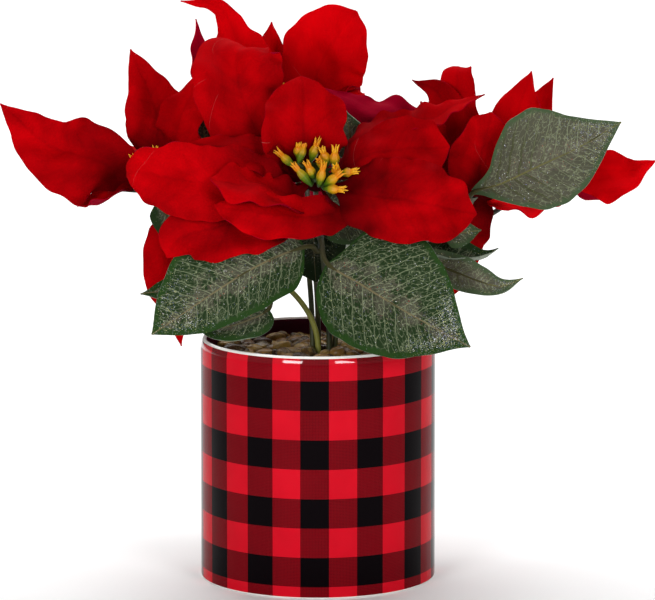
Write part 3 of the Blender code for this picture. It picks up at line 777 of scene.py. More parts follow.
class MeshWork:
    """Gathers closed forms and their marks, and makes one object of them."""

    MARKS = ("lie", "turn", "look")

    def __init__(self) -> None:
        """Starts with nothing."""
        self.points: list[np.ndarray] = []
        self.faces: list[list[int]] = []
        self.marks: dict[str, list[np.ndarray]] = {name: [] for name in self.MARKS}
        self.count = 0

    def add(self, points: np.ndarray, faces: Iterable[Sequence[int]], **marks: "np.ndarray | Triple") -> None:
        """Adds a form.

        Args:
            points: Its points, in millimetres.
            faces: Its faces, as numbers of its own points.
            marks: A vector for each point, or one for all, under the names in MARKS.
        """
        self.points.append(points)
        self.faces.extend([[k + self.count for k in face] for face in faces])
        for name in self.MARKS:
            value = np.broadcast_to(np.asarray(marks.get(name, (0.0, 0.0, 0.0)), float), points.shape)
            self.marks[name].append(value)
        self.count += len(points)

    def shell(self, grid: np.ndarray, thick: float, lie: np.ndarray, turn: np.ndarray, look: Triple) -> None:
        """Adds a closed sheet with half its thickness on each side of a grid of points.

        Args:
            grid: The points, by row and by place in the row.
            thick: The thickness.
            lie: The mark for where each point lies on the flat sheet.
            turn: The mark whose second part says which side it is: nought above and one below.
            look: The mark for the whole sheet.
        """
        rows, wide = grid.shape[:2]
        along = np.gradient(grid, axis=0)
        across = np.gradient(grid, axis=1)
        half = unit(np.cross(across, along)) * thick / 2
        points = np.concatenate([(grid + half).reshape(-1, 3), (grid - half).reshape(-1, 3)])
        step = rows * wide
        top = np.arange(step).reshape(rows, wide)
        under = top + step
        a, b, c, d = (top[:-1, :-1], top[:-1, 1:], top[1:, 1:], top[1:, :-1])
        quads = [np.stack([a, b, c, d], -1), np.stack([d, c, b, a], -1) + step]
        for line_top, line_under, flip in (
            (top[:, 0], under[:, 0], True),
            (top[:, -1], under[:, -1], False),
            (top[0], under[0], False),
            (top[-1], under[-1], True),
        ):
            ring = (line_top[:-1], line_under[:-1], line_under[1:], line_top[1:])
            quads.append(np.stack(ring[::-1] if flip else ring, -1))
        faces = np.concatenate([q.reshape(-1, 4) for q in quads]).tolist()
        turn_under = turn.copy()
        turn_under[..., 1] = 1.0
        self.add(
            points,
            faces,
            lie=np.concatenate([lie.reshape(-1, 3)] * 2),
            turn=np.concatenate([turn.reshape(-1, 3), turn_under.reshape(-1, 3)]),
            look=look,
        )

    def loft(self, rings: np.ndarray, **marks: "np.ndarray | Triple") -> None:
        """Adds a closed form through rings of points, capped at both ends.

        Args:
            rings: Points by ring and by place on the ring.
            marks: One vector for all points, or one for each ring.
        """
        count, sides = rings.shape[:2]
        ends = rings[[0, -1]].mean(axis=1)
        points = np.concatenate([rings.reshape(-1, 3), ends])
        index = np.arange(count * sides).reshape(count, sides)
        after = np.roll(index, -1, axis=1)
        faces = np.stack([index[:-1], after[:-1], after[1:], index[1:]], -1).reshape(-1, 4).tolist()
        first, last = count * sides, count * sides + 1
        faces += [[first, b, a] for a, b in zip(index[0], after[0])]
        faces += [[last, a, b] for a, b in zip(index[-1], after[-1])]
        spread = {}
        for name, value in marks.items():
            value = np.asarray(value, float)
            if value.ndim == 2:
                value = np.concatenate([np.repeat(value, sides, axis=0), value[[0, -1]]])
            spread[name] = value
        self.add(points, faces, **spread)

    def tube(
        self, line: np.ndarray, radii: np.ndarray, sides: int, **marks: "np.ndarray | Triple"
    ) -> None:
        """Adds a round tube along a line.

        Args:
            line: The points of the line.
            radii: The radius at each of them.
            sides: How many points there are round it.
            marks: As for loft.
        """
        face = (0.31, 0.22, 0.93) if abs(unit(line[-1] - line[0])[2]) < 0.8 else (0.1, -0.99, 0.1)
        b, a = carried_frames(line, face, 0.0)
        turns = np.arange(sides) * math.tau / sides
        ring = np.cos(turns)[None, :, None] * a[:, None] - np.sin(turns)[None, :, None] * b[:, None]
        self.loft(line[:, None] + ring * radii[:, None, None], **marks)

    def turned(
        self,
        profile: np.ndarray,
        place: Matrix,
        sides: int,
        ribs: tuple[int, float] = (0, 0.0),
        **marks: "np.ndarray | Triple",
    ) -> None:
        """Adds a form turned about its own Z from (radius, height) points.

        Args:
            profile: The points from the foot up.
            place: Where it stands.
            sides: How many points there are round it.
            ribs: How many ribs there are round it, and their share of the radius.
            marks: As for loft.
        """
        turns = np.arange(sides) * math.tau / sides
        swell = 1.0 + ribs[1] * np.cos(turns * ribs[0])
        radius = profile[:, :1] * swell[None, :]
        height = np.repeat(profile[:, 1:], sides, axis=1)
        rings = np.stack([radius * np.cos(turns), radius * np.sin(turns), height], -1)
        matrix = np.array(place)
        self.loft(rings @ matrix[:3, :3].T + matrix[:3, 3], **marks)

    def make(self, name: str, finish: bpy.types.Material, sharp: float = 55.0) -> bpy.types.Object:
        """Makes the object.

        Args:
            name: Its name.
            finish: Its material.
            sharp: The angle in degrees from which an edge stays sharp.

        Returns:
            The object, in the scene.
        """
        mesh = bpy.data.meshes.new(name)
        mesh.from_pydata(np.concatenate(self.points) * MM, [], self.faces)
        for mark, values in self.marks.items():
            layer = mesh.attributes.new(mark, "FLOAT_VECTOR", "POINT")
            layer.data.foreach_set("vector", np.concatenate(values).astype(np.float32).ravel())
        mesh.materials.append(finish)
        mesh.shade_smooth()
        mesh.set_sharp_from_angle(angle=math.radians(sharp))
        made = bpy.data.objects.new(name, mesh)
        bpy.context.scene.collection.objects.link(made)
        return made


def seated(piece: bpy.types.Object, slot: str, *nodes: str) -> None:
    """Lets a piece ride on the plant's one body, and reports it.

    Args:
        piece: The piece.
        slot: Not used.
        nodes: The nodes that it stands for.
    """
    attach(piece, "root")
    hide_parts(*nodes)
    LOG.info("%s: %d faces, for %s", piece.name, len(piece.data.polygons), ", ".join(nodes))


# Blades


class Outline(Enum):
    """Half the width along a blade, as (share of its length, share of its widest half)."""

    POINTED = (
        (0, 0.07), (0.1, 0.15), (0.26, 0.64), (0.45, 1), (0.64, 0.86), (0.82, 0.44), (0.93, 0.17), (1, 0),
    )
    LOBED = ((0, 0.07), (0.1, 0.17), (0.26, 0.78), (0.4, 1), (0.52, 0.97), (0.64, 0.72), (0.82, 0.4), (1, 0))
    HOOKED = (
        (0, 0.07), (0.1, 0.15), (0.26, 0.66), (0.42, 1), (0.56, 0.8), (0.68, 0.46), (0.82, 0.28), (1, 0),
    )
    BROAD = ((0, 0.06), (0.1, 0.16), (0.24, 0.76), (0.46, 1), (0.7, 0.95), (0.86, 0.66), (0.95, 0.32), (1, 0))
    LEAFY = ((0, 0.05), (0.07, 0.55), (0.2, 0.92), (0.38, 1), (0.6, 0.84), (0.8, 0.46), (0.92, 0.16), (1, 0))
    ROUND = (
        (0, 0.05), (0.06, 0.64), (0.16, 0.94), (0.34, 1), (0.62, 0.88), (0.82, 0.56), (0.94, 0.2), (1, 0),
    )
    HEART = (
        (0, 0.05), (0.06, 0.14), (0.14, 0.32), (0.27, 0.7), (0.4, 0.96), (0.5, 1), (0.62, 0.88), (0.76, 0.54),
        (1, 0),
    )
    FULL = ((0, 0.06), (0.1, 0.16), (0.24, 0.84), (0.42, 1), (0.78, 0.96), (0.9, 0.7), (0.96, 0.4), (1, 0))
    SPOON = ((0, 0.06), (0.1, 0.12), (0.26, 0.42), (0.5, 0.86), (0.72, 1), (0.88, 0.78), (0.95, 0.45), (1, 0))
    KITE = ((0, 0.06), (0.1, 0.12), (0.3, 0.46), (0.48, 0.84), (0.6, 1), (0.72, 0.78), (0.86, 0.4), (1, 0))

    def half(self, shares: np.ndarray) -> np.ndarray:
        """Draws the outline as one smooth line that never swings past its points.

        Args:
            shares: Shares of the length.

        Returns:
            The half width at each of them, as a share of the widest half.
        """
        x, y = np.array(self.value, float).T
        step, rise = np.diff(x), np.diff(y)
        slope = rise / step
        turn = np.zeros(len(x))
        turn[0], turn[-1] = slope[0], slope[-1]
        same = slope[:-1] * slope[1:] > 0
        turn[1:-1][same] = 2 * slope[:-1][same] * slope[1:][same] / (slope[:-1] + slope[1:])[same]
        k = np.clip(np.searchsorted(x, shares, "right") - 1, 0, len(step) - 1)
        t = (shares - x[k]) / step[k]
        low = (1 + 2 * t) * (1 - t) ** 2 * y[k] + t * t * (3 - 2 * t) * y[k + 1]
        return low + step[k] * (t * (1 - t) ** 2 * turn[k] - t * t * (1 - t) * turn[k + 1])


@dataclass(frozen=True)
class Blade:
    """A bract or a leaf blade on a curved midrib."""

    path: tuple[Triple, ...]  # the midrib's bends, from the foot to the tip
    width: float  # where it is widest
    face: Triple = (0.0, -0.8, 0.6)  # the way its upper side looks in the middle
    fold: float = 10.0  # degrees by which each half is lifted
    outline: Outline = Outline.POINTED
    ruffle: float = 1.5  # how far the edge waves
    waves: float = 1.5  # how many waves an edge has
    phase: float = 0.0  # where they start, in radians
    twist: float = 0.0  # degrees from the foot to the tip
    lean: float = 0.0  # how much wider one half is, as a share
    glow: float = 0.0  # painted light added to its head's tone, and painted shade where it is below nought


@dataclass(frozen=True)
class BladeCut:
    """How finely a blade is made, and the relief that its cloth has."""

    veins: Veins
    thick: float
    relief: float  # how deep the veins are pressed
    drape: float  # how far the whole sheet swings in its folds
    flutter: float  # how far the edge swings in short folds
    uneven: float  # how far the edge runs out in soft lobes, as a share
    opening: float = 0.25  # the share of its length over which a blade opens from its flat foot
    least: float = 0.3  # half the width of the tip
    pitch: float = 1.15  # from one point of the mesh to the next
    lobe_sizes: Triple = (27.0, 17.0, 11.0)  # from one lobe to the next
    folds: tuple[Pair, ...] = ((34.0, 0.9), (23.0, 1.5), (17.0, 0.4), (12.0, 1.2))  # as (size, way)
    flutter_sizes: Pair = (11.0, 15.0)  # from one short fold to the next
    groove: float = 1.3  # how wide a side vein is pressed
    rib: float = 1.2  # how wide the midrib is pressed

    def form(
        self, work: MeshWork, blade: Blade, line: np.ndarray, spans: int, look: Triple, seed: str
    ) -> None:
        """Adds a blade to the work.

        Args:
            work: What it is added to.
            blade: The blade.
            line: The points of its midrib, a bare stalk's among them.
            spans: How many spans of the line are the stalk.
            look: The mark for the cloth: its tone, its glitter, and nought.
            seed: Names the blade, so that its folds are its own.
        """
        fine = smooth_curve(line)
        reach = reaches(fine)
        sides, normals = carried_frames(fine, blade.face, blade.twist)
        foot = reach[spans * FINE_STEPS]
        length = reach[-1] - foot
        rows = max(14, round(length / self.pitch))
        wide = 2 * max(5, round(blade.width / 2 / self.pitch))
        shares = np.linspace(0, 1, rows + 1)
        places = foot + shares * length
        middle = at_shares(fine, reach, places)
        side, normal = unit(at_shares(sides, reach, places)), unit(at_shares(normals, reach, places))
        half = np.maximum(self.least, blade.width / 2 * blade.outline.half(shares))[:, None]
        s = np.linspace(-1, 1, wide + 1)[None, :]
        half = half * (1 - blade.lean * np.sign(s))
        share = np.repeat(shares[:, None], wide + 1, axis=1)
        half = half * (1 + self.lobes(share * length, np.sign(s), seed) * np.minimum(1, share / 0.3))
        across, along = s * half, share * length
        edge = np.minimum((1 - np.abs(s)) * half, (1 - share) * length * 0.45)
        height = self.height(blade, s, half, share, across, along, edge, seed)
        flat = across * math.cos(math.radians(blade.fold))
        grid = middle[:, None] + side[:, None] * flat[..., None] + normal[:, None] * height[..., None]
        number = random.Random(seed).random()
        lie = np.stack([across, along, edge], -1)
        turn = np.stack([share, np.zeros_like(share), np.full_like(share, number)], -1)
        work.shell(grid, self.thick, lie, turn, look)

    def lobes(self, along: np.ndarray, side: np.ndarray, seed: str) -> np.ndarray:
        """Draws the soft lobes of a blade's edges.

        Args:
            along: The distance from the foot.
            side: Minus one on one half of the blade and one on the other.
            seed: Names the blade.

        Returns:
            How much further out the edge runs, as a share of the half width.
        """
        rng = random.Random(seed + "lobe")
        made = np.zeros_like(along)
        for size in self.lobe_sizes:
            start = rng.uniform(0, math.tau) + side * rng.uniform(0.6, 2.4)
            made += np.sin(along * math.tau / size + start) * size / self.lobe_sizes[0]
        return made * self.uneven

    def height(
        self,
        blade: Blade,
        s: np.ndarray,
        half: np.ndarray,
        share: np.ndarray,
        across: np.ndarray,
        along: np.ndarray,
        edge: np.ndarray,
        seed: str,
    ) -> np.ndarray:
        """Works out how far each point of a blade stands off its flat sheet.

        Args:
            blade: The blade.
            s: The place across it, from minus one at one edge to one at the other.
            half: Half the width.
            share: The share of the length.
            across: The distance from the midrib, with a sign.
            along: The distance from the foot.
            edge: The distance from the edge.
            seed: Names the blade.

        Returns:
            The height of each point.
        """
        rng = random.Random(seed + "fold")
        lift = math.radians(blade.fold)
        opened = np.minimum(1.0, share / self.opening)
        away = np.abs(across)
        rise = (np.sqrt(away**2 + 1.4**2) - 1.4) * math.sin(lift)
        wave = np.sin(math.tau * blade.waves * share + blade.phase + np.where(s < 0, math.pi, 0.0))
        ripple = blade.ruffle * s * s * wave * np.minimum(1.0, half / 8.0)
        bend = np.zeros_like(share)
        for size, angle in self.folds:
            way = angle * rng.choice((-1, 1)) + rng.uniform(-0.3, 0.3)
            reach = across * math.sin(way) + along * math.cos(way)
            bend += size / 60 * np.sin(reach * math.tau / size + rng.uniform(0, math.tau))
        flutter = along * math.tau / rng.uniform(*self.flutter_sizes)
        flutter = np.sin(flutter + rng.uniform(0, math.tau) + np.sign(s))
        run = self.veins.run(across, along, away)
        gap = (np.mod(run / self.veins.spacing, 1.0) - 0.5) * self.veins.spacing
        groove = np.exp(-((gap / self.groove) ** 2)) * np.minimum(1, away / 3) * np.clip(edge / 5, 0, 1)
        rib = np.exp(-((away / self.rib) ** 2)) * np.minimum(1, half / 6)
        whole = rise + ripple + bend * self.drape * np.minimum(1, half / 9)
        whole = whole + flutter * self.flutter * np.abs(s) ** 4 * np.minimum(1, half / 9)
        return whole * opened - self.relief * (groove + rib * 0.8) * np.minimum(1, share / 0.1)


BRACT_CUT = BladeCut(BRACT_VEINS, thick=0.55, relief=0.10, drape=2.6, flutter=1.4, uneven=0.04)
LEAF_CUT = BladeCut(LEAF_VEINS, thick=0.6, relief=0.42, drape=0.6, flutter=0.35, uneven=0.012)


# The pot and what fills it


@dataclass
class Pot:
    """The glazed pot: a straight round wall with a softened rim, on a flat floor."""

    radius: float = POT_RADIUS
    height: float = POT_HEIGHT
    wall: float = POT_WALL
    floor: float = 6.0
    shoulder: Pair = (2.1, 5.6)  # the rim's rounding, across and down
    foot: float = 1.4
    cove: float = 2.0
    plain: float = 30.0  # the radius of the flat middles, which need no points of their own
    sides: int = 192
    glaze: CheckGlaze = field(default_factory=CheckGlaze)

    def profile(self) -> np.ndarray:
        """Draws the section, from the underside up the outside and down the inside to the floor.

        Returns:
            Its points, as (radius, height).
        """
        across, down = self.shoulder
        inner, top, cove = self.radius - self.wall, self.height, self.cove
        quarter = np.linspace(0, math.pi / 2, 9)
        foot = [(self.radius - self.foot * (1 - math.sin(t)), self.foot * (1 - math.cos(t))) for t in quarter]
        wall = [(self.radius, z) for z in np.linspace(self.foot, top - down, 24)[1:-1]]
        outer = [(self.radius - across * (1 - math.cos(t)), top - down * (1 - math.sin(t))) for t in quarter]
        lip = [(inner + across * (1 - math.sin(t)), top - down * (1 - math.cos(t))) for t in quarter]
        corner = [(inner - cove * (1 - math.cos(t)), self.floor + cove * (1 - math.sin(t))) for t in quarter]
        return np.array([(self.plain, 0.0), *foot, *wall, *outer, *lip, *corner, (self.plain, self.floor)])

    def build(self) -> None:
        """Makes the pot."""
        work = MeshWork()
        work.turned(self.profile(), Matrix.Identity(4), self.sides)
        seated(work.make("pot_glazed", self.glaze.material(), 40.0), "pot_glaze", "pot")


@dataclass
class Gravel:
    """The bed of pebbles in the pot, heaped round the stems."""

    radius: float = POT_RADIUS - POT_WALL - 0.4
    bed: float = 110.5
    bed_thick: float = 2.5
    top: float = 116.4
    heap: float = 3.6  # how much higher the bed is at the stems
    heap_reach: float = 16.0
    pitch: float = 7.2
    stray: float = 1.6  # how far a pebble lies off its even place
    sunk: float = 2.6  # from the top down to the lower layer's middles
    layer: float = 2.2
    missing: float = 0.42  # the share of the upper layer that is left out
    stone: Pair = (3.4, 5.2)
    stems: Pair = STEMS_CENTRE
    stems_radius: float = 9.4
    flats: int = 7  # how many flat places a pebble has
    flat_from: Pair = (0.62, 0.9)  # how far out they lie, as a share of its radius
    stretch: tuple[Pair, ...] = ((0.95, 1.35), (0.8, 1.0), (0.55, 0.8))  # along, across and up
    seed: int = 5
    finish: PebbleStone = field(default_factory=PebbleStone)

    def ball(self) -> tuple[np.ndarray, list[list[int]]]:
        """Makes a ball of radius one.

        Returns:
            Its points and its faces.
        """
        mesh = bmesh.new()
        bmesh.ops.create_icosphere(mesh, subdivisions=3, radius=1.0)
        points = np.array([v.co[:] for v in mesh.verts])
        faces = [[v.index for v in f.verts] for f in mesh.faces]
        mesh.free()
        return points, faces

    def places(self, rng: random.Random) -> list[tuple[float, float, float, float]]:
        """Lays the pebbles out in two layers, clear of the stems and the pot.

        Args:
            rng: Where its chances come from.

        Returns:
            A (x, y, z, radius) for each pebble.
        """
        made = []
        rows = int(self.radius / self.pitch) + 2
        span = range(-rows, rows + 1)
        for layer, j, i in product((0, 1), span, span):
            x = self.pitch * (i + (j % 2) / 2 + layer * 0.5) + rng.uniform(-self.stray, self.stray)
            y = self.pitch * 0.866 * (j + layer * 0.6) + rng.uniform(-self.stray, self.stray)
            size = rng.uniform(*self.stone)
            clear = math.hypot(x - self.stems[0], y - self.stems[1]) - self.stems_radius
            heap = self.heap * math.exp(-((clear / self.heap_reach) ** 2))
            z = self.top - self.sunk + layer * self.layer + heap + rng.uniform(-0.9, 0.9)
            if clear < size * 0.5 or math.hypot(x, y) > self.radius - size * 0.93:
                continue
            if layer and rng.random() < self.missing:
                continue
            made.append((x, y, z, size))
        return made

    def pebble(self, ball: np.ndarray, size: float, rng: random.Random) -> np.ndarray:
        """Shapes one pebble from a ball, which is worn flat in places, stretched and turned.

        Args:
            ball: The points of a ball of radius one.
            size: The pebble's radius before it is stretched.
            rng: Where its chances come from.

        Returns:
            Its points, round its own middle.
        """
        stone = ball.copy()
        for _ in range(self.flats):
            way = unit(np.array([rng.gauss(0, 1) for _ in range(3)]))
            over = np.maximum(0.0, stone @ way - rng.uniform(*self.flat_from))
            stone = stone - over[:, None] * way * 0.85
        scale = np.array([size * rng.uniform(*span) for span in self.stretch])
        spin = Matrix.Rotation(rng.uniform(0, math.tau), 3, "Z")
        turn = spin @ Matrix.Rotation(rng.uniform(-0.5, 0.5), 3, "X")
        return (stone * scale) @ np.array(turn).T

    def build(self) -> None:
        """Makes the bed and its pebbles."""
        rng = random.Random(self.seed)
        work = MeshWork()
        low, high = self.bed - self.bed_thick, self.bed
        bed = np.array([(1.0, low), (self.radius, low), (self.radius, high), (1.0, high)])
        work.turned(bed, Matrix.Identity(4), 64, look=(0.0, 1.0, 0.0))
        ball, faces = self.ball()
        for x, y, z, size in self.places(rng):
            stone = self.pebble(ball, size, rng)
            shift = np.array([rng.uniform(0, 400), rng.uniform(0, 400), 0.0])
            work.add(stone + (x, y, z), faces, lie=stone + shift, look=(rng.random(), 0.0, 0.0))
        seated(work.make("gravel_pebbles", self.finish.material(), 180.0), "pebbles", "gravel")


# The plant


@dataclass(frozen=True)
class Head:
    """A flower head: the middle of its core, the way it looks and its bracts."""

    core: Triple
    axis: Triple
    bracts: tuple[Blade, ...]

    def up(self) -> np.ndarray:
        """The way it looks, at length one."""
        return unit(np.array(self.axis))

    def stand(self, lift: float) -> Matrix:
        """A place on its axis, lift above the middle of its core."""
        turn = Vector((0, 0, 1)).rotation_difference(Vector(self.axis)).to_matrix().to_4x4()
        return Matrix.Translation(Vector(self.core) + Vector(self.axis).normalized() * lift) @ turn


def whorl(
    core: Triple,
    axis: Triple,
    angles: Sequence[float],
    length: float,
    width: float,
    rise: float,
    droop: float,
    seed: int,
) -> list[Blade]:
    """Sets bracts in a ring round an axis.

    Args:
        core: The middle of the head's core.
        axis: The way that the ring looks.
        angles: The way of each bract in degrees. 0 is to the right, and 90 is to the back.
        length: How far they reach.
        width: How wide they are.
        rise: How far their bends stand above the core's middle.
        droop: How far their tips hang below their bends.
        seed: Makes the ring its own.

    Returns:
        The bracts.
    """
    rng = random.Random(seed)
    middle, up = Vector(core), Vector(axis).normalized()
    right = (Vector((1, 0, 0)) - up * up.x).normalized()
    back = up.cross(right)
    made = []
    for number, angle in enumerate(angles):
        turn = math.radians(angle + rng.uniform(-4, 4))
        out = right * math.cos(turn) + back * math.sin(turn)
        reach = length * rng.uniform(0.92, 1.06)
        lift = rise + (2.5 if number % 2 else -2.5)
        bend = middle + out * reach * 0.55 + up * lift
        tip = middle + out * reach + up * (lift - droop * rng.uniform(0.7, 1.2))
        made.append(
            Blade(
                (tuple(bend), tuple(tip)),
                width * rng.uniform(0.9, 1.05),
                tuple(up - out * 0.15),
                fold=rng.uniform(6, 16),
                ruffle=rng.uniform(1.0, 2.0),
                phase=rng.uniform(0, 6.28),
                twist=rng.uniform(-18, 18),
                outline=rng.choice((Outline.POINTED, Outline.LOBED, Outline.BROAD)),
            )
        )
    return made


# The middle of each head's core, and the way that the head looks
FRONT = ((-1.0, -48.0, 212.0), (0.0, -0.62, 0.78))
LEFT = ((-84.0, -15.0, 207.0), (-0.1, -0.5, 0.86))
RIGHT = ((76.0, -6.0, 200.0), (-0.1, 0.1, 0.99))
FAR = ((111.0, 24.0, 208.0), (0.4, 0.1, 0.9))
TOP = ((-12.0, 30.0, 233.0), (0.0, -0.12, 0.99))
REAR = ((-6.0, 98.0, 200.0), (0.0, 0.5, 0.86))
BROAD, LOBED, HOOKED = Outline.BROAD, Outline.LOBED, Outline.HOOKED
FULL, SPOON, KITE = Outline.FULL, Outline.SPOON, Outline.KITE

FRONT_BRACTS = (
    Blade(
        ((-28, -42, 232), (-38, -38, 253), (-40, -26, 273), (-31, -11, 272)), 46, (0.05, -1, 0.2), 4, FULL,
        glow=0.14),
    Blade(((-7, -50, 238), (-8, -41, 263)), 43, (0.1, -1, 0.3), 8, BROAD),
    Blade(((-27, -54, 223), (-52, -57, 230), (-66, -52, 230)), 22, (0.1, -0.8, 0.6), 8),
    Blade(
        ((-31, -62, 211), (-62, -69, 214), (-88, -64, 218), (-95, -56, 215)), 38, (-0.1, -1, 0.2), 4, BROAD),
    Blade(((-18, -68, 208), (-38, -76, 213), (-53, -77, 217)), 29, (0.1, -0.6, 0.8), 6, BROAD),
    Blade(
        ((9, -65, 198), (-12, -77, 198), (-32, -82, 200), (-51, -80, 204)), 24, (0.1, -0.9, 0.5), -4, BROAD),
    Blade(
        ((-24, -60, 196), (-49, -66, 191), (-68, -65, 185), (-75, -63, 175)), 34, (-0.1, -0.95, 0.2), 6,
        BROAD, ruffle=2.2, waves=2.5),
    Blade(((22, -52, 223), (44, -51, 228), (66, -43, 228)), 35, (0.05, -0.9, 0.4), -6, SPOON),
    Blade(
        ((27, -63, 206), (52, -73, 204), (79, -64, 197)), 42, (0.15, -1, 0.25), 4, BROAD,
        ruffle=2.0, glow=-0.14),
    Blade(((26, -38, 233), (54, -29, 240), (84, -20, 251)), 25, (0.0, -0.35, 1.0), 12),
)
LEFT_BRACTS = (
    Blade(
        ((-108, -20, 216), (-134, -22, 225), (-160, -17, 246)), 42, (-0.1, -0.95, 0.35), 4, LOBED, lean=0.1),
    Blade(((-82, -3, 239), (-95, 4, 271)), 34, (0.1, -1, 0.2), 10, LOBED),
    Blade(((-71, -16, 235), (-58, -16, 264)), 28, (-0.6, -0.8, 0.2), -10),
    Blade(((-106, -15, 201), (-122, -12, 193)), 26, (0, -0.2, 1), 8),
    Blade(((-72, -25, 187), (-75, -25, 162), (-69, -29, 124)), 28, (-0.1, -1, 0.1), 6),
    *whorl(LEFT[0], (0.0, 0.1, 1.0), (64, 108, 150), 62, 34, 12, 8, seed=2),
)
RIGHT_BRACTS = (
    Blade(((64, 9, 243), (48, 14, 254)), 26, (0.2, -1, 0.5), 14, glow=-0.1),
    Blade(((73, 13, 232), (71, 13, 255), (75, 23, 259)), 19, (-0.2, -1, 0.2), 10, FULL),
    Blade(((57, -9, 226), (52, -8, 246)), 24, (0.5, -0.8, 0.5), 12, glow=-0.2),
    Blade(((82, -21, 217), (87, -26, 243)), 34, (0.1, -1, 0.2), 10, BROAD, ruffle=2.5, waves=2.5),
    Blade(((47, -1, 231), (24, 2, 241), (3, 4, 251)), 34, (-0.1, 0.5, -0.9), 8),
    Blade(((78, 5, 189), (71, 3, 170), (63, 1, 142)), 27, (0.2, -1, 0.1), 6, BROAD, ruffle=2.2, waves=2.5),
    *whorl(*RIGHT, (95, 138), 54, 30, 12, 8, seed=5),
)
FAR_BRACTS = (
    Blade(((101, 20, 233), (109, 18, 258)), 27, (0.1, -1, 0.3), 8),
    Blade(((111, 36, 233), (121, 38, 252)), 21, (0.1, -1, 0.4), 10),
    Blade(
        ((142, 13, 208), (158, 9, 208), (172, 4, 214)), 28, (0.1, -0.95, 0.4), 4, KITE, lean=-0.3, glow=0.15),
    Blade(((105, -6, 196), (90, -26, 194)), 42, (0, -0.5, 0.85), 8, BROAD),
    *whorl(*FAR, (44, 84, 124), 56, 32, 4, 6, seed=8),
)
TOP_BRACTS = (
    Blade(((-38, 36, 262), (-45, 34, 281), (-52, 31, 290), (-70, 26, 293)), 30, (-0.3, -1, 0.3), 8, HOOKED),
    Blade(((-24, 50, 257), (-24, 54, 279)), 25, (0, -1, 0.3), 8),
    Blade(((0, 46, 254), (9, 44, 272), (20, 50, 285)), 45, (0.1, -1, 0.2), 6, BROAD),
    Blade(((-54, 18, 249), (-62, 16, 285)), 20, (-1, -0.1, 0.3), 8),
    *whorl(*TOP, (2, 50, 98, 146), 62, 34, 6, 12, seed=11),
)
REAR_BRACTS = (
    *whorl(*REAR, (8, 52, 90, 128, 172), 66, 36, 4, 10, seed=14),
    *whorl(*REAR, (30, 110, 220, 320), 42, 24, 15, -2, seed=15),
)
HEADS = {
    "front": Head(*FRONT, FRONT_BRACTS),
    "left": Head(*LEFT, LEFT_BRACTS),
    "right": Head(*RIGHT, RIGHT_BRACTS),
    "far": Head(*FAR, FAR_BRACTS),
    "top": Head(*TOP, TOP_BRACTS),
    "rear": Head(*REAR, REAR_BRACTS),
}

# Painted light: how brightly the bracts of some heads are lit, from nought to one
LIT_TONES = {"top": (0.6, 0.9), "far": (0.5, 0.7), "left": (0.1, 0.3), "front": (0.0, 0.16)}


@dataclass
class FlowerHead:
    """The bracts of one head on their small core."""

    name: str
    head: Head
    cut: BladeCut = BRACT_CUT
    root_reach: float = 4.2  # where a bract starts, inside the core
    collar: float = 13.5  # how far a bract runs sideways under the buds
    tiers: Triple = (-1.5, 1.5, 0.0)  # heights at which bracts leave the core, in turn
    # The range of painted light on the bracts, from which each bract draws its tone at random
    tones: Pair = (0.0, 0.3)
    core_profile: tuple[Pair, ...] = (
        (0.4, -4.2), (2.6, -4.0), (5.4, -2.8), (6.2, -1.0), (6.2, 1.4), (5.2, 3.0), (0.4, 4.0),
    )

    def line(self, number: int) -> np.ndarray:
        """Draws a midrib, which leaves the core sideways under the buds before it turns to its own way.

        Args:
            number: The bract's number.

        Returns:
            The midrib's points.
        """
        core, axis = np.array(self.head.core), self.head.up()
        path = np.array(self.head.bracts[number].path, float)
        out = path[0] - core
        out = unit(out - axis * (out @ axis))
        root = core + axis * self.tiers[number % len(self.tiers)]
        return np.vstack([root + out * self.root_reach, root + out * self.collar, path])

    def build(self, cloth: bpy.types.Material) -> None:
        """Makes the bracts and the core.

        Args:
            cloth: Their material.
        """
        work = MeshWork()
        work.turned(np.array(self.core_profile), self.head.stand(0.0), 28, look=(0.2, 0.0, 1.0))
        for number, blade in enumerate(self.head.bracts):
            seed = f"{self.name}{number}"
            # A bract's painted light: a random tone from its head's range, with its own glow
            tone = random.Random(seed).uniform(*self.tones) + blade.glow
            self.cut.form(work, blade, self.line(number), 0, (tone, 0.0, 0.0), seed)
        seated(work.make(f"bracts_{self.name}_cloth", cloth), "bract_red", f"bracts_{self.name}")


@dataclass(frozen=True)
class Bud:
    """A bud on its head's disc: its foot, how far its tip leans, its length, and how ripe it is."""

    foot: Pair
    lean: Pair
    length: float
    ripe: float


FRONT_BUDS = (
    Bud((-8.7, 5.4), (3.3, 7.5), 11.0, 0.75),
    Bud((-2.2, 7.0), (2.9, 4.8), 10.5, 0.6),
    Bud((-9.0, 9.5), (0.4, 2.0), 8.0, 0.9),
    Bud((6.2, 4.6), (-2.9, 2.6), 9.0, 0.95),
    Bud((9.2, 2.8), (0.4, 3.6), 10.0, 1.0),
    Bud((10.4, -2.2), (-0.4, -1.8), 8.0, 0.95),
    Bud((-11.0, 3.4), (-7.2, 2.5), 10.5, 0.5),
    Bud((-2.2, -9.6), (-8.0, 6.0), 12.5, 0.25),
    Bud((-0.8, -4.8), (-3.3, 2.9), 8.5, 0.8),
    Bud((1.6, -10.0), (2.2, 4.6), 11.0, 0.8),
    Bud((4.4, -9.6), (7.6, 1.2), 10.5, 0.7),
    Bud((4.0, -11.8), (9.2, -3.2), 10.2, 0.95),
    Bud((12.2, -1.6), (7.2, -2.0), 8.5, 0.95),
    Bud((4.2, 3.4), (-2.5, -2.6), 8.0, 0.45),
)


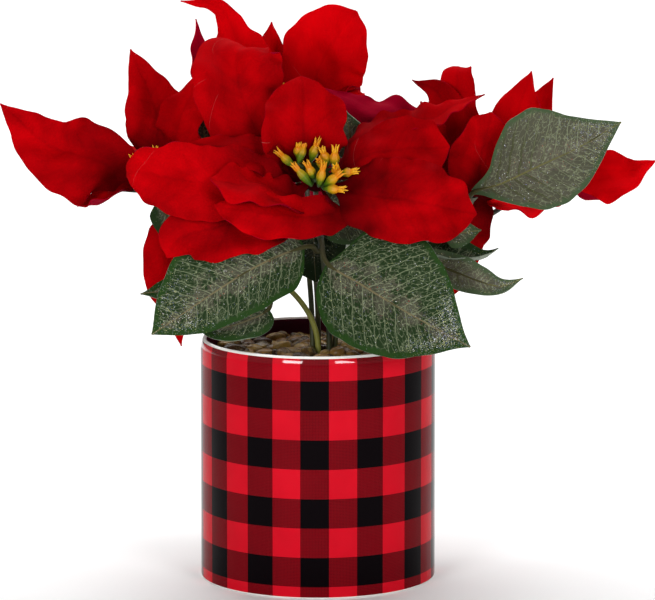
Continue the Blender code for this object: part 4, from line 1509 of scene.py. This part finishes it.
@dataclass
class BudCluster:
    """The buds in the middle of one head, each on a short stalk from one cushion."""

    name: str
    head: Head
    buds: tuple[Bud, ...]
    lift: float = 4.3  # from the middle of the core up to the cushion
    cushion: float = 6.0
    widest: float = 2.45
    body: float = 0.86  # the share of the length up to the crown
    # A bud's shape up to its crown, as (share of the height, share of its widest radius)
    urn: tuple[Pair, ...] = (
        (0, 0.3), (0.12, 0.48), (0.35, 0.82), (0.6, 1.0), (0.8, 0.8), (0.93, 0.56), (1, 0.46),
    )
    ribs: tuple[int, float] = (6, 0.06)
    teeth: int = 5

    @staticmethod
    def ring(name: str) -> tuple[Bud, ...]:
        """Sets out a plain cluster: one bud in the middle and six round it.

        Args:
            name: The head's name, which makes the cluster its own.

        Returns:
            The buds.
        """
        rng = random.Random(name)
        made = [Bud((0.0, 0.0), (rng.uniform(-1, 1), rng.uniform(-1, 1)), 9.0, rng.uniform(0.4, 0.9))]
        for k in range(6):
            turn = math.tau * k / 6 + rng.uniform(-0.15, 0.15)
            out = (math.cos(turn), math.sin(turn))
            lean = rng.uniform(1.0, 2.6)
            foot = (out[0] * 4.8, out[1] * 4.8)
            tip = (out[0] * lean, out[1] * lean)
            made.append(Bud(foot, tip, rng.uniform(8.2, 10.4), rng.uniform(0.3, 1.0)))
        return tuple(made)

    def build(self, plastic: bpy.types.Material) -> None:
        """Makes the cushion, the stalks and the buds.

        Args:
            plastic: Their material.
        """
        work = MeshWork()
        base = self.head.stand(self.lift)
        size = self.cushion
        dome = [(size, 0.0), (size * 1.1, 0.8), (size * 0.95, 1.8), (size * 0.5, 2.3)]
        cushion = np.array([(0.4, 0.0), *dome, (0.4, 2.5)])
        work.turned(cushion, base, 30, look=(0.2, 0.0, 1.0))
        for number, bud in enumerate(self.buds):
            self.bud(work, base, bud, f"{self.name}{number}")
        seated(work.make(f"buds_{self.name}_cluster", plastic, 70.0), "bud_yellow", f"buds_{self.name}")

    def bud(self, work: MeshWork, base: Matrix, bud: Bud, seed: str) -> None:
        """Adds one bud: a stalk, an urn with soft ribs, and a crown of small teeth.

        Args:
            work: What it is added to.
            base: The place of the cushion's underside.
            bud: The bud.
            seed: Names it.
        """
        rng = random.Random(seed)
        rise = math.sqrt(max(0.3, bud.length**2 - bud.lean[0] ** 2 - bud.lean[1] ** 2))
        way = Vector((*bud.lean, rise)).normalized()
        foot = Vector((*bud.foot, 1.6))
        turn = Vector((0, 0, 1)).rotation_difference(way).to_matrix().to_4x4()
        self.stalk(work, base, bud, foot, way)
        wide = self.widest * rng.uniform(0.88, 1.08)
        stand = base @ Matrix.Translation(foot) @ turn
        t = np.linspace(0, 1, 15)
        share = np.stack([t * 0.85, t * 0, t * 0], -1)
        height = t * (bud.length * self.body)
        lie = np.stack([t * 0 + rng.uniform(0, 99), height, t * 0 + rng.uniform(0, 99)], -1)
        profile = np.stack([np.interp(t, *zip(*self.urn)) * wide, height], -1)
        work.turned(profile, stand, 24, self.ribs, turn=share, lie=lie, look=(bud.ripe, 0.0, 0.0))
        self.crown(work, stand, bud, wide, rng)

    def stalk(self, work: MeshWork, base: Matrix, bud: Bud, foot: Vector, way: Vector) -> None:
        """Adds a bud's stalk, which starts on the cushion even where the bud stands further out.

        Args:
            work: What it is added to.
            base: The place of the cushion's underside.
            bud: The bud.
            foot: The bud's foot, from that place.
            way: The way that the bud points.
        """
        inwards = min(1.0, self.cushion * 0.8 / max(0.1, math.hypot(*bud.foot)))
        inner = Vector((*bud.foot, 0)) * inwards
        path = [inner + Vector((0, 0, 1.0)), (inner + foot) / 2, foot, foot + way * 1.2]
        line = smooth_curve(np.array([(base @ point)[:] for point in path]))[::6]
        work.tube(line, np.full(len(line), 0.75), 8, look=(bud.ripe, 0.0, 1.0))

    def crown(self, work: MeshWork, stand: Matrix, bud: Bud, wide: float, rng: random.Random) -> None:
        """Adds the teeth of a bud's crown.

        Args:
            work: What they are added to.
            stand: The place of the bud's foot.
            bud: The bud.
            wide: Its radius where it is widest.
            rng: Where their chances come from.
        """
        body = bud.length * self.body
        for k in range(self.teeth):
            around = Matrix.Rotation(math.tau * (k + rng.uniform(-0.15, 0.15)) / self.teeth, 4, "Z")
            flare = rng.uniform(0.1, 1.1)
            high = bud.length * rng.uniform(0.3, 0.44)
            inner, outer = wide * 0.36, wide * 0.42
            path = [(inner, 0, body - 0.6), (outer, 0, body + high * 0.4), (outer + flare, 0, body + high)]
            line = smooth_curve(np.array([(stand @ around @ Vector(p))[:] for p in path]))[::8]
            taper = np.interp(np.linspace(0, 1, len(line)), (0, 0.4, 1), (0.7, 0.82, 0.12))
            shade = np.stack([np.linspace(0.85, 1.0, len(line))] + [np.zeros(len(line))] * 2, -1)
            work.tube(line, taper, 6, turn=shade, look=(max(0.8, bud.ripe), 0.0, 0.0))


@dataclass
class Stems:
    """The thin stems that fan out from the middle of the gravel, one to each head."""

    radius: float = 1.4
    ring: float = 5.6
    centre: Pair = STEMS_CENTRE
    straight_to: float = 119.0
    buried_to: float = 108.0
    buried_steps: int = 5
    core_half: float = 4.3
    points: int = 10  # of a bent part, where leaves find their places
    fine_points: int = 72  # of a bent part's mesh
    knuckle: float = 0.55  # how much thicker a stem is where a leaf's stalk joins it
    knuckle_reach: float = 1.6
    cup: tuple[Pair, ...] = ((0.4, -3.4), (1.9, -3.2), (2.6, -1.8), (4.2, -0.6), (5.0, 0.3), (0.4, 0.5))
    cup_lift: float = 0.2
    order: tuple[str, ...] = ("right", "far", "rear", "top", "left", "front")
    tones: tuple[float, ...] = (0.12, 0.04, 0.1, 0.1, 0.85, 0.05)  # one is yellow green

    def foot(self, name: str) -> Vector:
        """Finds where a stem stands, on the ring of the stems' feet.

        Args:
            name: The head's name.

        Returns:
            The place on the ground.
        """
        x, y = self.centre
        turn = math.tau * self.order.index(name) / len(self.order)
        return Vector((x + self.ring * math.cos(turn), y + self.ring * math.sin(turn), 0))

    def bend(self, name: str, points: int) -> list[Vector]:
        """Draws a stem's bent part, from just above the gravel to just under its head's core.

        Args:
            name: The head's name.
            points: How many points are wanted.

        Returns:
            The points.
        """
        head = HEADS[name]
        axis = Vector(head.axis).normalized()
        end = Vector(head.core) - axis * self.core_half
        start = self.foot(name) + Vector((0, 0, self.straight_to))
        reach = (end - start).length
        low, high = start + Vector((0, 0, reach * 0.4)), end - axis * reach * 0.3
        return geometry.interpolate_bezier(start, low, high, end, points)

    def build(self, plastic: bpy.types.Material) -> None:
        """Makes every stem, with a cup under its head and a small swelling where each leaf joins it.

        Args:
            plastic: Their material.
        """
        for number, name in enumerate(self.order):
            bend = self.bend(name, self.fine_points)
            axis = Vector(HEADS[name].axis).normalized()
            buried = np.linspace(self.buried_to, self.straight_to, self.buried_steps + 1)[:-1]
            line = [self.foot(name) + Vector((0, 0, z)) for z in buried]
            line += [*bend, bend[-1] + axis * 1.2]
            line = np.array([p[:] for p in line])
            along = reaches(line)
            taper = np.interp(along / along[-1], (0, 0.1, 1), (1.12, 1.0, 0.92))
            radii = np.full(len(line), self.radius) * taper
            bent = along[self.buried_steps : self.buried_steps + len(bend)]
            for leaf in LEAVES.values():
                if leaf.stem == name:
                    place = np.interp(leaf.share * self.fine_points, range(len(bend)), bent)
                    radii = radii + self.knuckle * np.exp(-(((along - place) / self.knuckle_reach) ** 2))
            work = MeshWork()
            lie = np.stack([along * 0, along, along * 0 + number * 60], -1)
            look = (self.tones[number], 0.0, 0.0)
            work.tube(line, radii, 20, lie=lie, look=look)
            work.turned(np.array(self.cup), HEADS[name].stand(self.cup_lift - self.core_half), 24, look=look)
            seated(work.make(f"stem_{name}_tube", plastic), "stem_green", f"stem_{name}")


@dataclass(frozen=True)
class Leaf:
    """A large leaf: its stem, the share of the stem's bent part below it, its blade, tone and glitter."""

    stem: str
    share: float
    blade: Blade
    tone: float = 0.0
    glitter: float = 0.5


def leafed(
    stem: str,
    share: float,
    path: tuple[Triple, ...],
    width: float,
    face: Triple,
    outline: Outline = Outline.LEAFY,
    fold: float = 7.0,
    lean: float = 0.0,
    tone: float = 0.0,
    glitter: float = 0.5,
) -> Leaf:
    """Makes a leaf with the values that all leaves have.

    Args:
        stem: The name of its stem.
        share: The share of the stem's bent part below it.
        path: The bends of its midrib, without those of its stalk.
        width: Where it is widest.
        face: The way its upper side looks.
        outline: Its outline.
        fold: Degrees by which each half is lifted.
        lean: How much wider one half is, as a share.
        tone: One for a faded leaf, nought for a green one, and less for a leaf painted dark as shade.
        glitter: How much glitter it has, from nought to one.

    Returns:
        The leaf.
    """
    blade = Blade(path, width, face, fold, outline, ruffle=0.8, lean=lean)
    return Leaf(stem, share, blade, tone, glitter)


LEAVES = {
    "leaf_front_left": leafed(
        "front", 0.54, ((-7, -43, 177), (-35, -57, 167), (-83, -57, 135)), 50, (-0.05, -1, 0.15),
        Outline.ROUND, lean=-0.2),
    "leaf_front_right": leafed(
        "front", 0.60, ((5, -52, 170), (22, -62, 161), (47, -70, 147), (76, -70, 131)), 66, (0.1, -1, 0.25),
        lean=0.1, glitter=1.0),
    "leaf_right_low": leafed(
        "right", 0.60, ((50, -33, 171), (66, -38, 165), (80, -42, 160), (92, -42, 157), (103, -42, 161)), 18,
        (0.1, -0.9, 0.45), tone=0.6, glitter=1.0),
    "leaf_right_fold": leafed(
        "right", 0.70, ((50, -25, 172), (66, -28, 168), (82, -28, 169), (91, -27, 174)), 25, (0, -0.47, 0.88),
        fold=50, tone=-0.5),
    "leaf_right_back": leafed("right", 0.78, ((63, -36, 182), (82, -39, 185)), 15, (0, 1, -0.2), tone=0.4),
    "leaf_far": leafed(
        "right", 0.93, ((78, -32, 203), (92, -35, 208), (110, -38, 217), (131, -38, 227), (152, -34, 239)),
        51, (0, -1, 0.2), Outline.HEART, lean=0.1, tone=0.55, glitter=0.7),
    "leaf_between": leafed("front", 0.82, ((17, -24, 217), (14, -20, 243)), 20, (-0.4, -1, 0.2), tone=0.5),
    "leaf_left_dark": leafed(
        "left", 0.95, ((-80, -38, 200), (-74, -43, 189), (-68, -47, 174)), 17, (-0.4, -0.9, 0.2), tone=-0.6),
    "leaf_upper_left": leafed("left", 0.74, ((-57, 2, 219), (-62, -1, 244)), 17, (-0.2, -1, 0.1), tone=-0.5),
    "leaf_rim_left": leafed(
        "left", 0.34, ((-25, -30, 143), (-43, -38, 136), (-62, -36, 134)), 24, (0, -0.7, 0.7)),
    "leaf_low_left": leafed(
        "left", 0.42, ((-46, -34, 158), (-68, -41, 156), (-89, -42, 153)), 20, (0, -0.8, 0.6)),
    "leaf_centre": leafed(
        "front", 0.78, ((-2, -16, 187), (-2, -13, 171), (-1, -12, 154)), 33, (0, -1, 0.1), Outline.ROUND,
        tone=-1.0, glitter=0.0),
    "leaf_centre_right": leafed(
        "front", 0.70, ((2, -28, 195), (18, -37, 194), (38, -45, 191)), 35, (0.1, -1, 0.2), tone=0.3),
    "leaf_rear_left": leafed(
        "rear", 0.62, ((-24, 68, 173), (-52, 90, 163), (-86, 104, 141)), 50, (-0.4, 0.7, 0.7)),
    "leaf_rear_right": leafed(
        "far", 0.50, ((50, 34, 168), (63, 60, 162), (79, 84, 140)), 45, (0.5, 0.7, 0.6)),
    "leaf_rear_low": leafed(
        "rear", 0.50, ((2, 70, 161), (10, 98, 151), (18, 130, 129)), 50, (0.1, 0.7, 0.8)),
    "leaf_side_left": leafed(
        "left", 0.82, ((-88, 14, 196), (-108, 30, 205), (-132, 44, 209)), 34, (-0.2, 0.2, 1)),
}


@dataclass
class LargeLeaf:
    """One large leaf with its round stalk, which runs on as the midrib under the blade."""

    name: str
    leaf: Leaf
    stems: Stems
    cut: BladeCut = LEAF_CUT
    clearance: float = 0.9  # from the stem's side to the first point of the stalk
    lift: float = 3.0  # how far the stalk's first bend stands out
    stalk: float = 1.25
    stalk_spans: int = 2  # how many spans of the midrib are bare stalk
    rib: float = 0.72  # the midrib's share of the stalk's radius at the blade's foot
    rib_tip: float = 0.3
    rib_end: float = 0.88  # where the midrib ends, as a share of the blade's length

    def line(self) -> np.ndarray:
        """Draws the midrib with its stalk, which starts at the side of the stem that faces the blade.

        Returns:
            Its points.
        """
        bend = self.stems.bend(self.leaf.stem, self.stems.points)
        place = self.leaf.share * (len(bend) - 1)
        step = min(int(place), len(bend) - 2)
        point = bend[step].lerp(bend[step + 1], place - step)
        upward = (bend[step + 1] - bend[step]).normalized()
        out = Vector(self.leaf.blade.path[0]) - point
        out = (out - upward * out.dot(upward)).normalized()
        root = point + out * (self.stems.radius + self.clearance)
        raised = root + out * self.lift + upward * self.lift / 2
        return np.array([root[:], raised[:], *self.leaf.blade.path])

    def build(self, cloth: bpy.types.Material) -> None:
        """Makes the leaf.

        Args:
            cloth: Its material.
        """
        work = MeshWork()
        line = self.line()
        look = (self.leaf.tone, self.leaf.glitter, 0.0)
        self.cut.form(work, self.leaf.blade, line, self.stalk_spans, look, self.name)
        fine = smooth_curve(line)
        reach = reaches(fine)
        _, normals = carried_frames(fine, self.leaf.blade.face, self.leaf.blade.twist)
        foot = reach[self.stalk_spans * FINE_STEPS]
        shares = np.clip((reach - foot) / (reach[-1] - foot), 0, 1)
        radius = self.stalk * self.rib
        radii = np.interp(shares, (0, 0.12, self.rib_end), (self.stalk, radius, self.rib_tip))
        sink = np.interp(shares, (0, 0.1, self.rib_end), (0.0, radius + 0.1, 0.5))
        keep = shares <= self.rib_end
        inner = fine[0] - unit(fine[1] - fine[0]) * 1.6
        tube = np.vstack([inner, (fine - normals * sink[:, None])[keep][::3]])
        radii = np.concatenate([[self.stalk], radii[keep][::3]])
        work.tube(tube, radii, 12, look=(self.leaf.tone, 0.0, 1.0))
        seated(work.make(f"{self.name}_cloth", cloth), "leaf_green", self.name)


@dataclass
class Studio:
    """The pale floor, the soft lights and the camera at the photograph's angle."""

    target: Triple = (4.9, 0.0, 142.7)
    distance: float = 2700.0
    elevation: float = 9.8
    lens: float = 290.9
    floor: float = 9000.0
    key: Pair = (400.0, 320.0)  # the two soft lights that the glaze mirrors
    glow: float = 0.16  # how bright the room is

    def build(self) -> None:
        """Makes the camera, the floor and the lights."""
        self.camera()
        self.ground()
        self.softbox("key_left", self.away(-24.5, 14.0, 1250.0), self.target, self.key, 6.8)
        self.softbox("key_right", self.away(26.0, 14.0, 1250.0), self.target, self.key, 5.6)
        self.softbox("top", self.away(180.0, 66.0, 1500.0), self.target, (1600.0, 900.0), 24.0)
        behind = Vector((0.0, 2200.0, 1350.0)) * MM
        self.softbox("backdrop", behind, (0.0, 2400.0, 0.0), (3800.0, 2000.0), 52.0)
        scene = bpy.context.scene
        scene.view_settings.view_transform = "Standard"
        world = bpy.data.worlds.new("studio")
        world.use_nodes = True
        back = world.node_tree.nodes["Background"]
        back.inputs["Color"].default_value = (1.0, 1.0, 1.0, 1.0)
        back.inputs["Strength"].default_value = self.glow
        scene.world = world

    def away(self, azimuth: float, elevation: float, distance: float) -> Vector:
        """Finds a place round the target.

        Args:
            azimuth: Degrees round it. 0 is where the camera stands, and 90 is to the right.
            elevation: Degrees above it.
            distance: How far away it is.

        Returns:
            The place, in metres.
        """
        a, e = math.radians(azimuth), math.radians(elevation)
        way = Vector((math.sin(a) * math.cos(e), -math.cos(a) * math.cos(e), math.sin(e)))
        return (Vector(self.target) + way * distance) * MM

    def camera(self) -> None:
        """Makes the camera."""
        data = bpy.data.cameras.new("camera")
        data.sensor_width, data.lens = 36.0, self.lens
        camera = bpy.data.objects.new("camera", data)
        camera.location = self.away(0.0, self.elevation, self.distance)
        look = Vector(self.target) * MM - camera.location
        camera.rotation_euler = look.to_track_quat("-Z", "Y").to_euler()
        bpy.context.scene.collection.objects.link(camera)
        bpy.context.scene.camera = camera

    @staticmethod
    def softbox(name: str, place: Vector, aim: Triple, size: Pair, power: float) -> None:
        """Makes one soft light.

        Args:
            name: Its name.
            place: Where it hangs, in metres.
            aim: The point that it faces.
            size: Its width and height.
            power: Its power in watts.
        """
        data = bpy.data.lights.new(name, "AREA")
        data.shape = "RECTANGLE"
        data.size, data.size_y = size[0] * MM, size[1] * MM
        data.energy = power
        light = bpy.data.objects.new(name, data)
        light.location = place
        look = Vector(aim) * MM - place
        light.rotation_euler = look.to_track_quat("-Z", "Y").to_euler()
        bpy.context.scene.collection.objects.link(light)

    def ground(self) -> None:
        """Makes the wide flat floor."""
        work = MeshWork()
        sides = np.linspace(-self.floor, self.floor, 9)
        grid = np.array([[(x, y, -0.05) for x in sides] for y in sides])
        work.shell(grid, 0.02, grid, np.zeros_like(grid), (0.0, 0.0, 0.0))
        stuff = PlainStuff("pale_floor", (0.93, 0.93, 0.93), (0.96, 0.96, 0.96), 0.8, 0.004, 0.05)
        floor = work.make("floor", stuff.material())


def main() -> None:
    """Builds the plant piece by piece."""
    logging.basicConfig(level=logging.INFO, format="%(message)s")
    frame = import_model()
    Studio().build()
    Pot().build()
    foam = PlainStuff("plug_foam", (0.09, 0.07, 0.045), (0.16, 0.12, 0.08), 0.9, 0.6, 0.4)
    plug = frame["nodes"]["plug"]
    plug.data.materials.clear()
    plug.data.materials.append(foam.material())
    Gravel().build()
    stems = Stems()
    stems.build(StemPlastic().material())
    red, yellow = BractCloth().material(), BudPlastic().material()
    for name, head in HEADS.items():
        FlowerHead(name, head, tones=LIT_TONES.get(name, (0.0, 0.25))).build(red)
        buds = FRONT_BUDS if name == "front" else BudCluster.ring(name)
        BudCluster(name, head, buds).build(yellow)
    green = LeafCloth().material()
    for name, leaf in LEAVES.items():
        LargeLeaf(name, leaf, stems).build(green)
    bpy.context.view_layer.update()


if __name__ == "__main__":
    main()
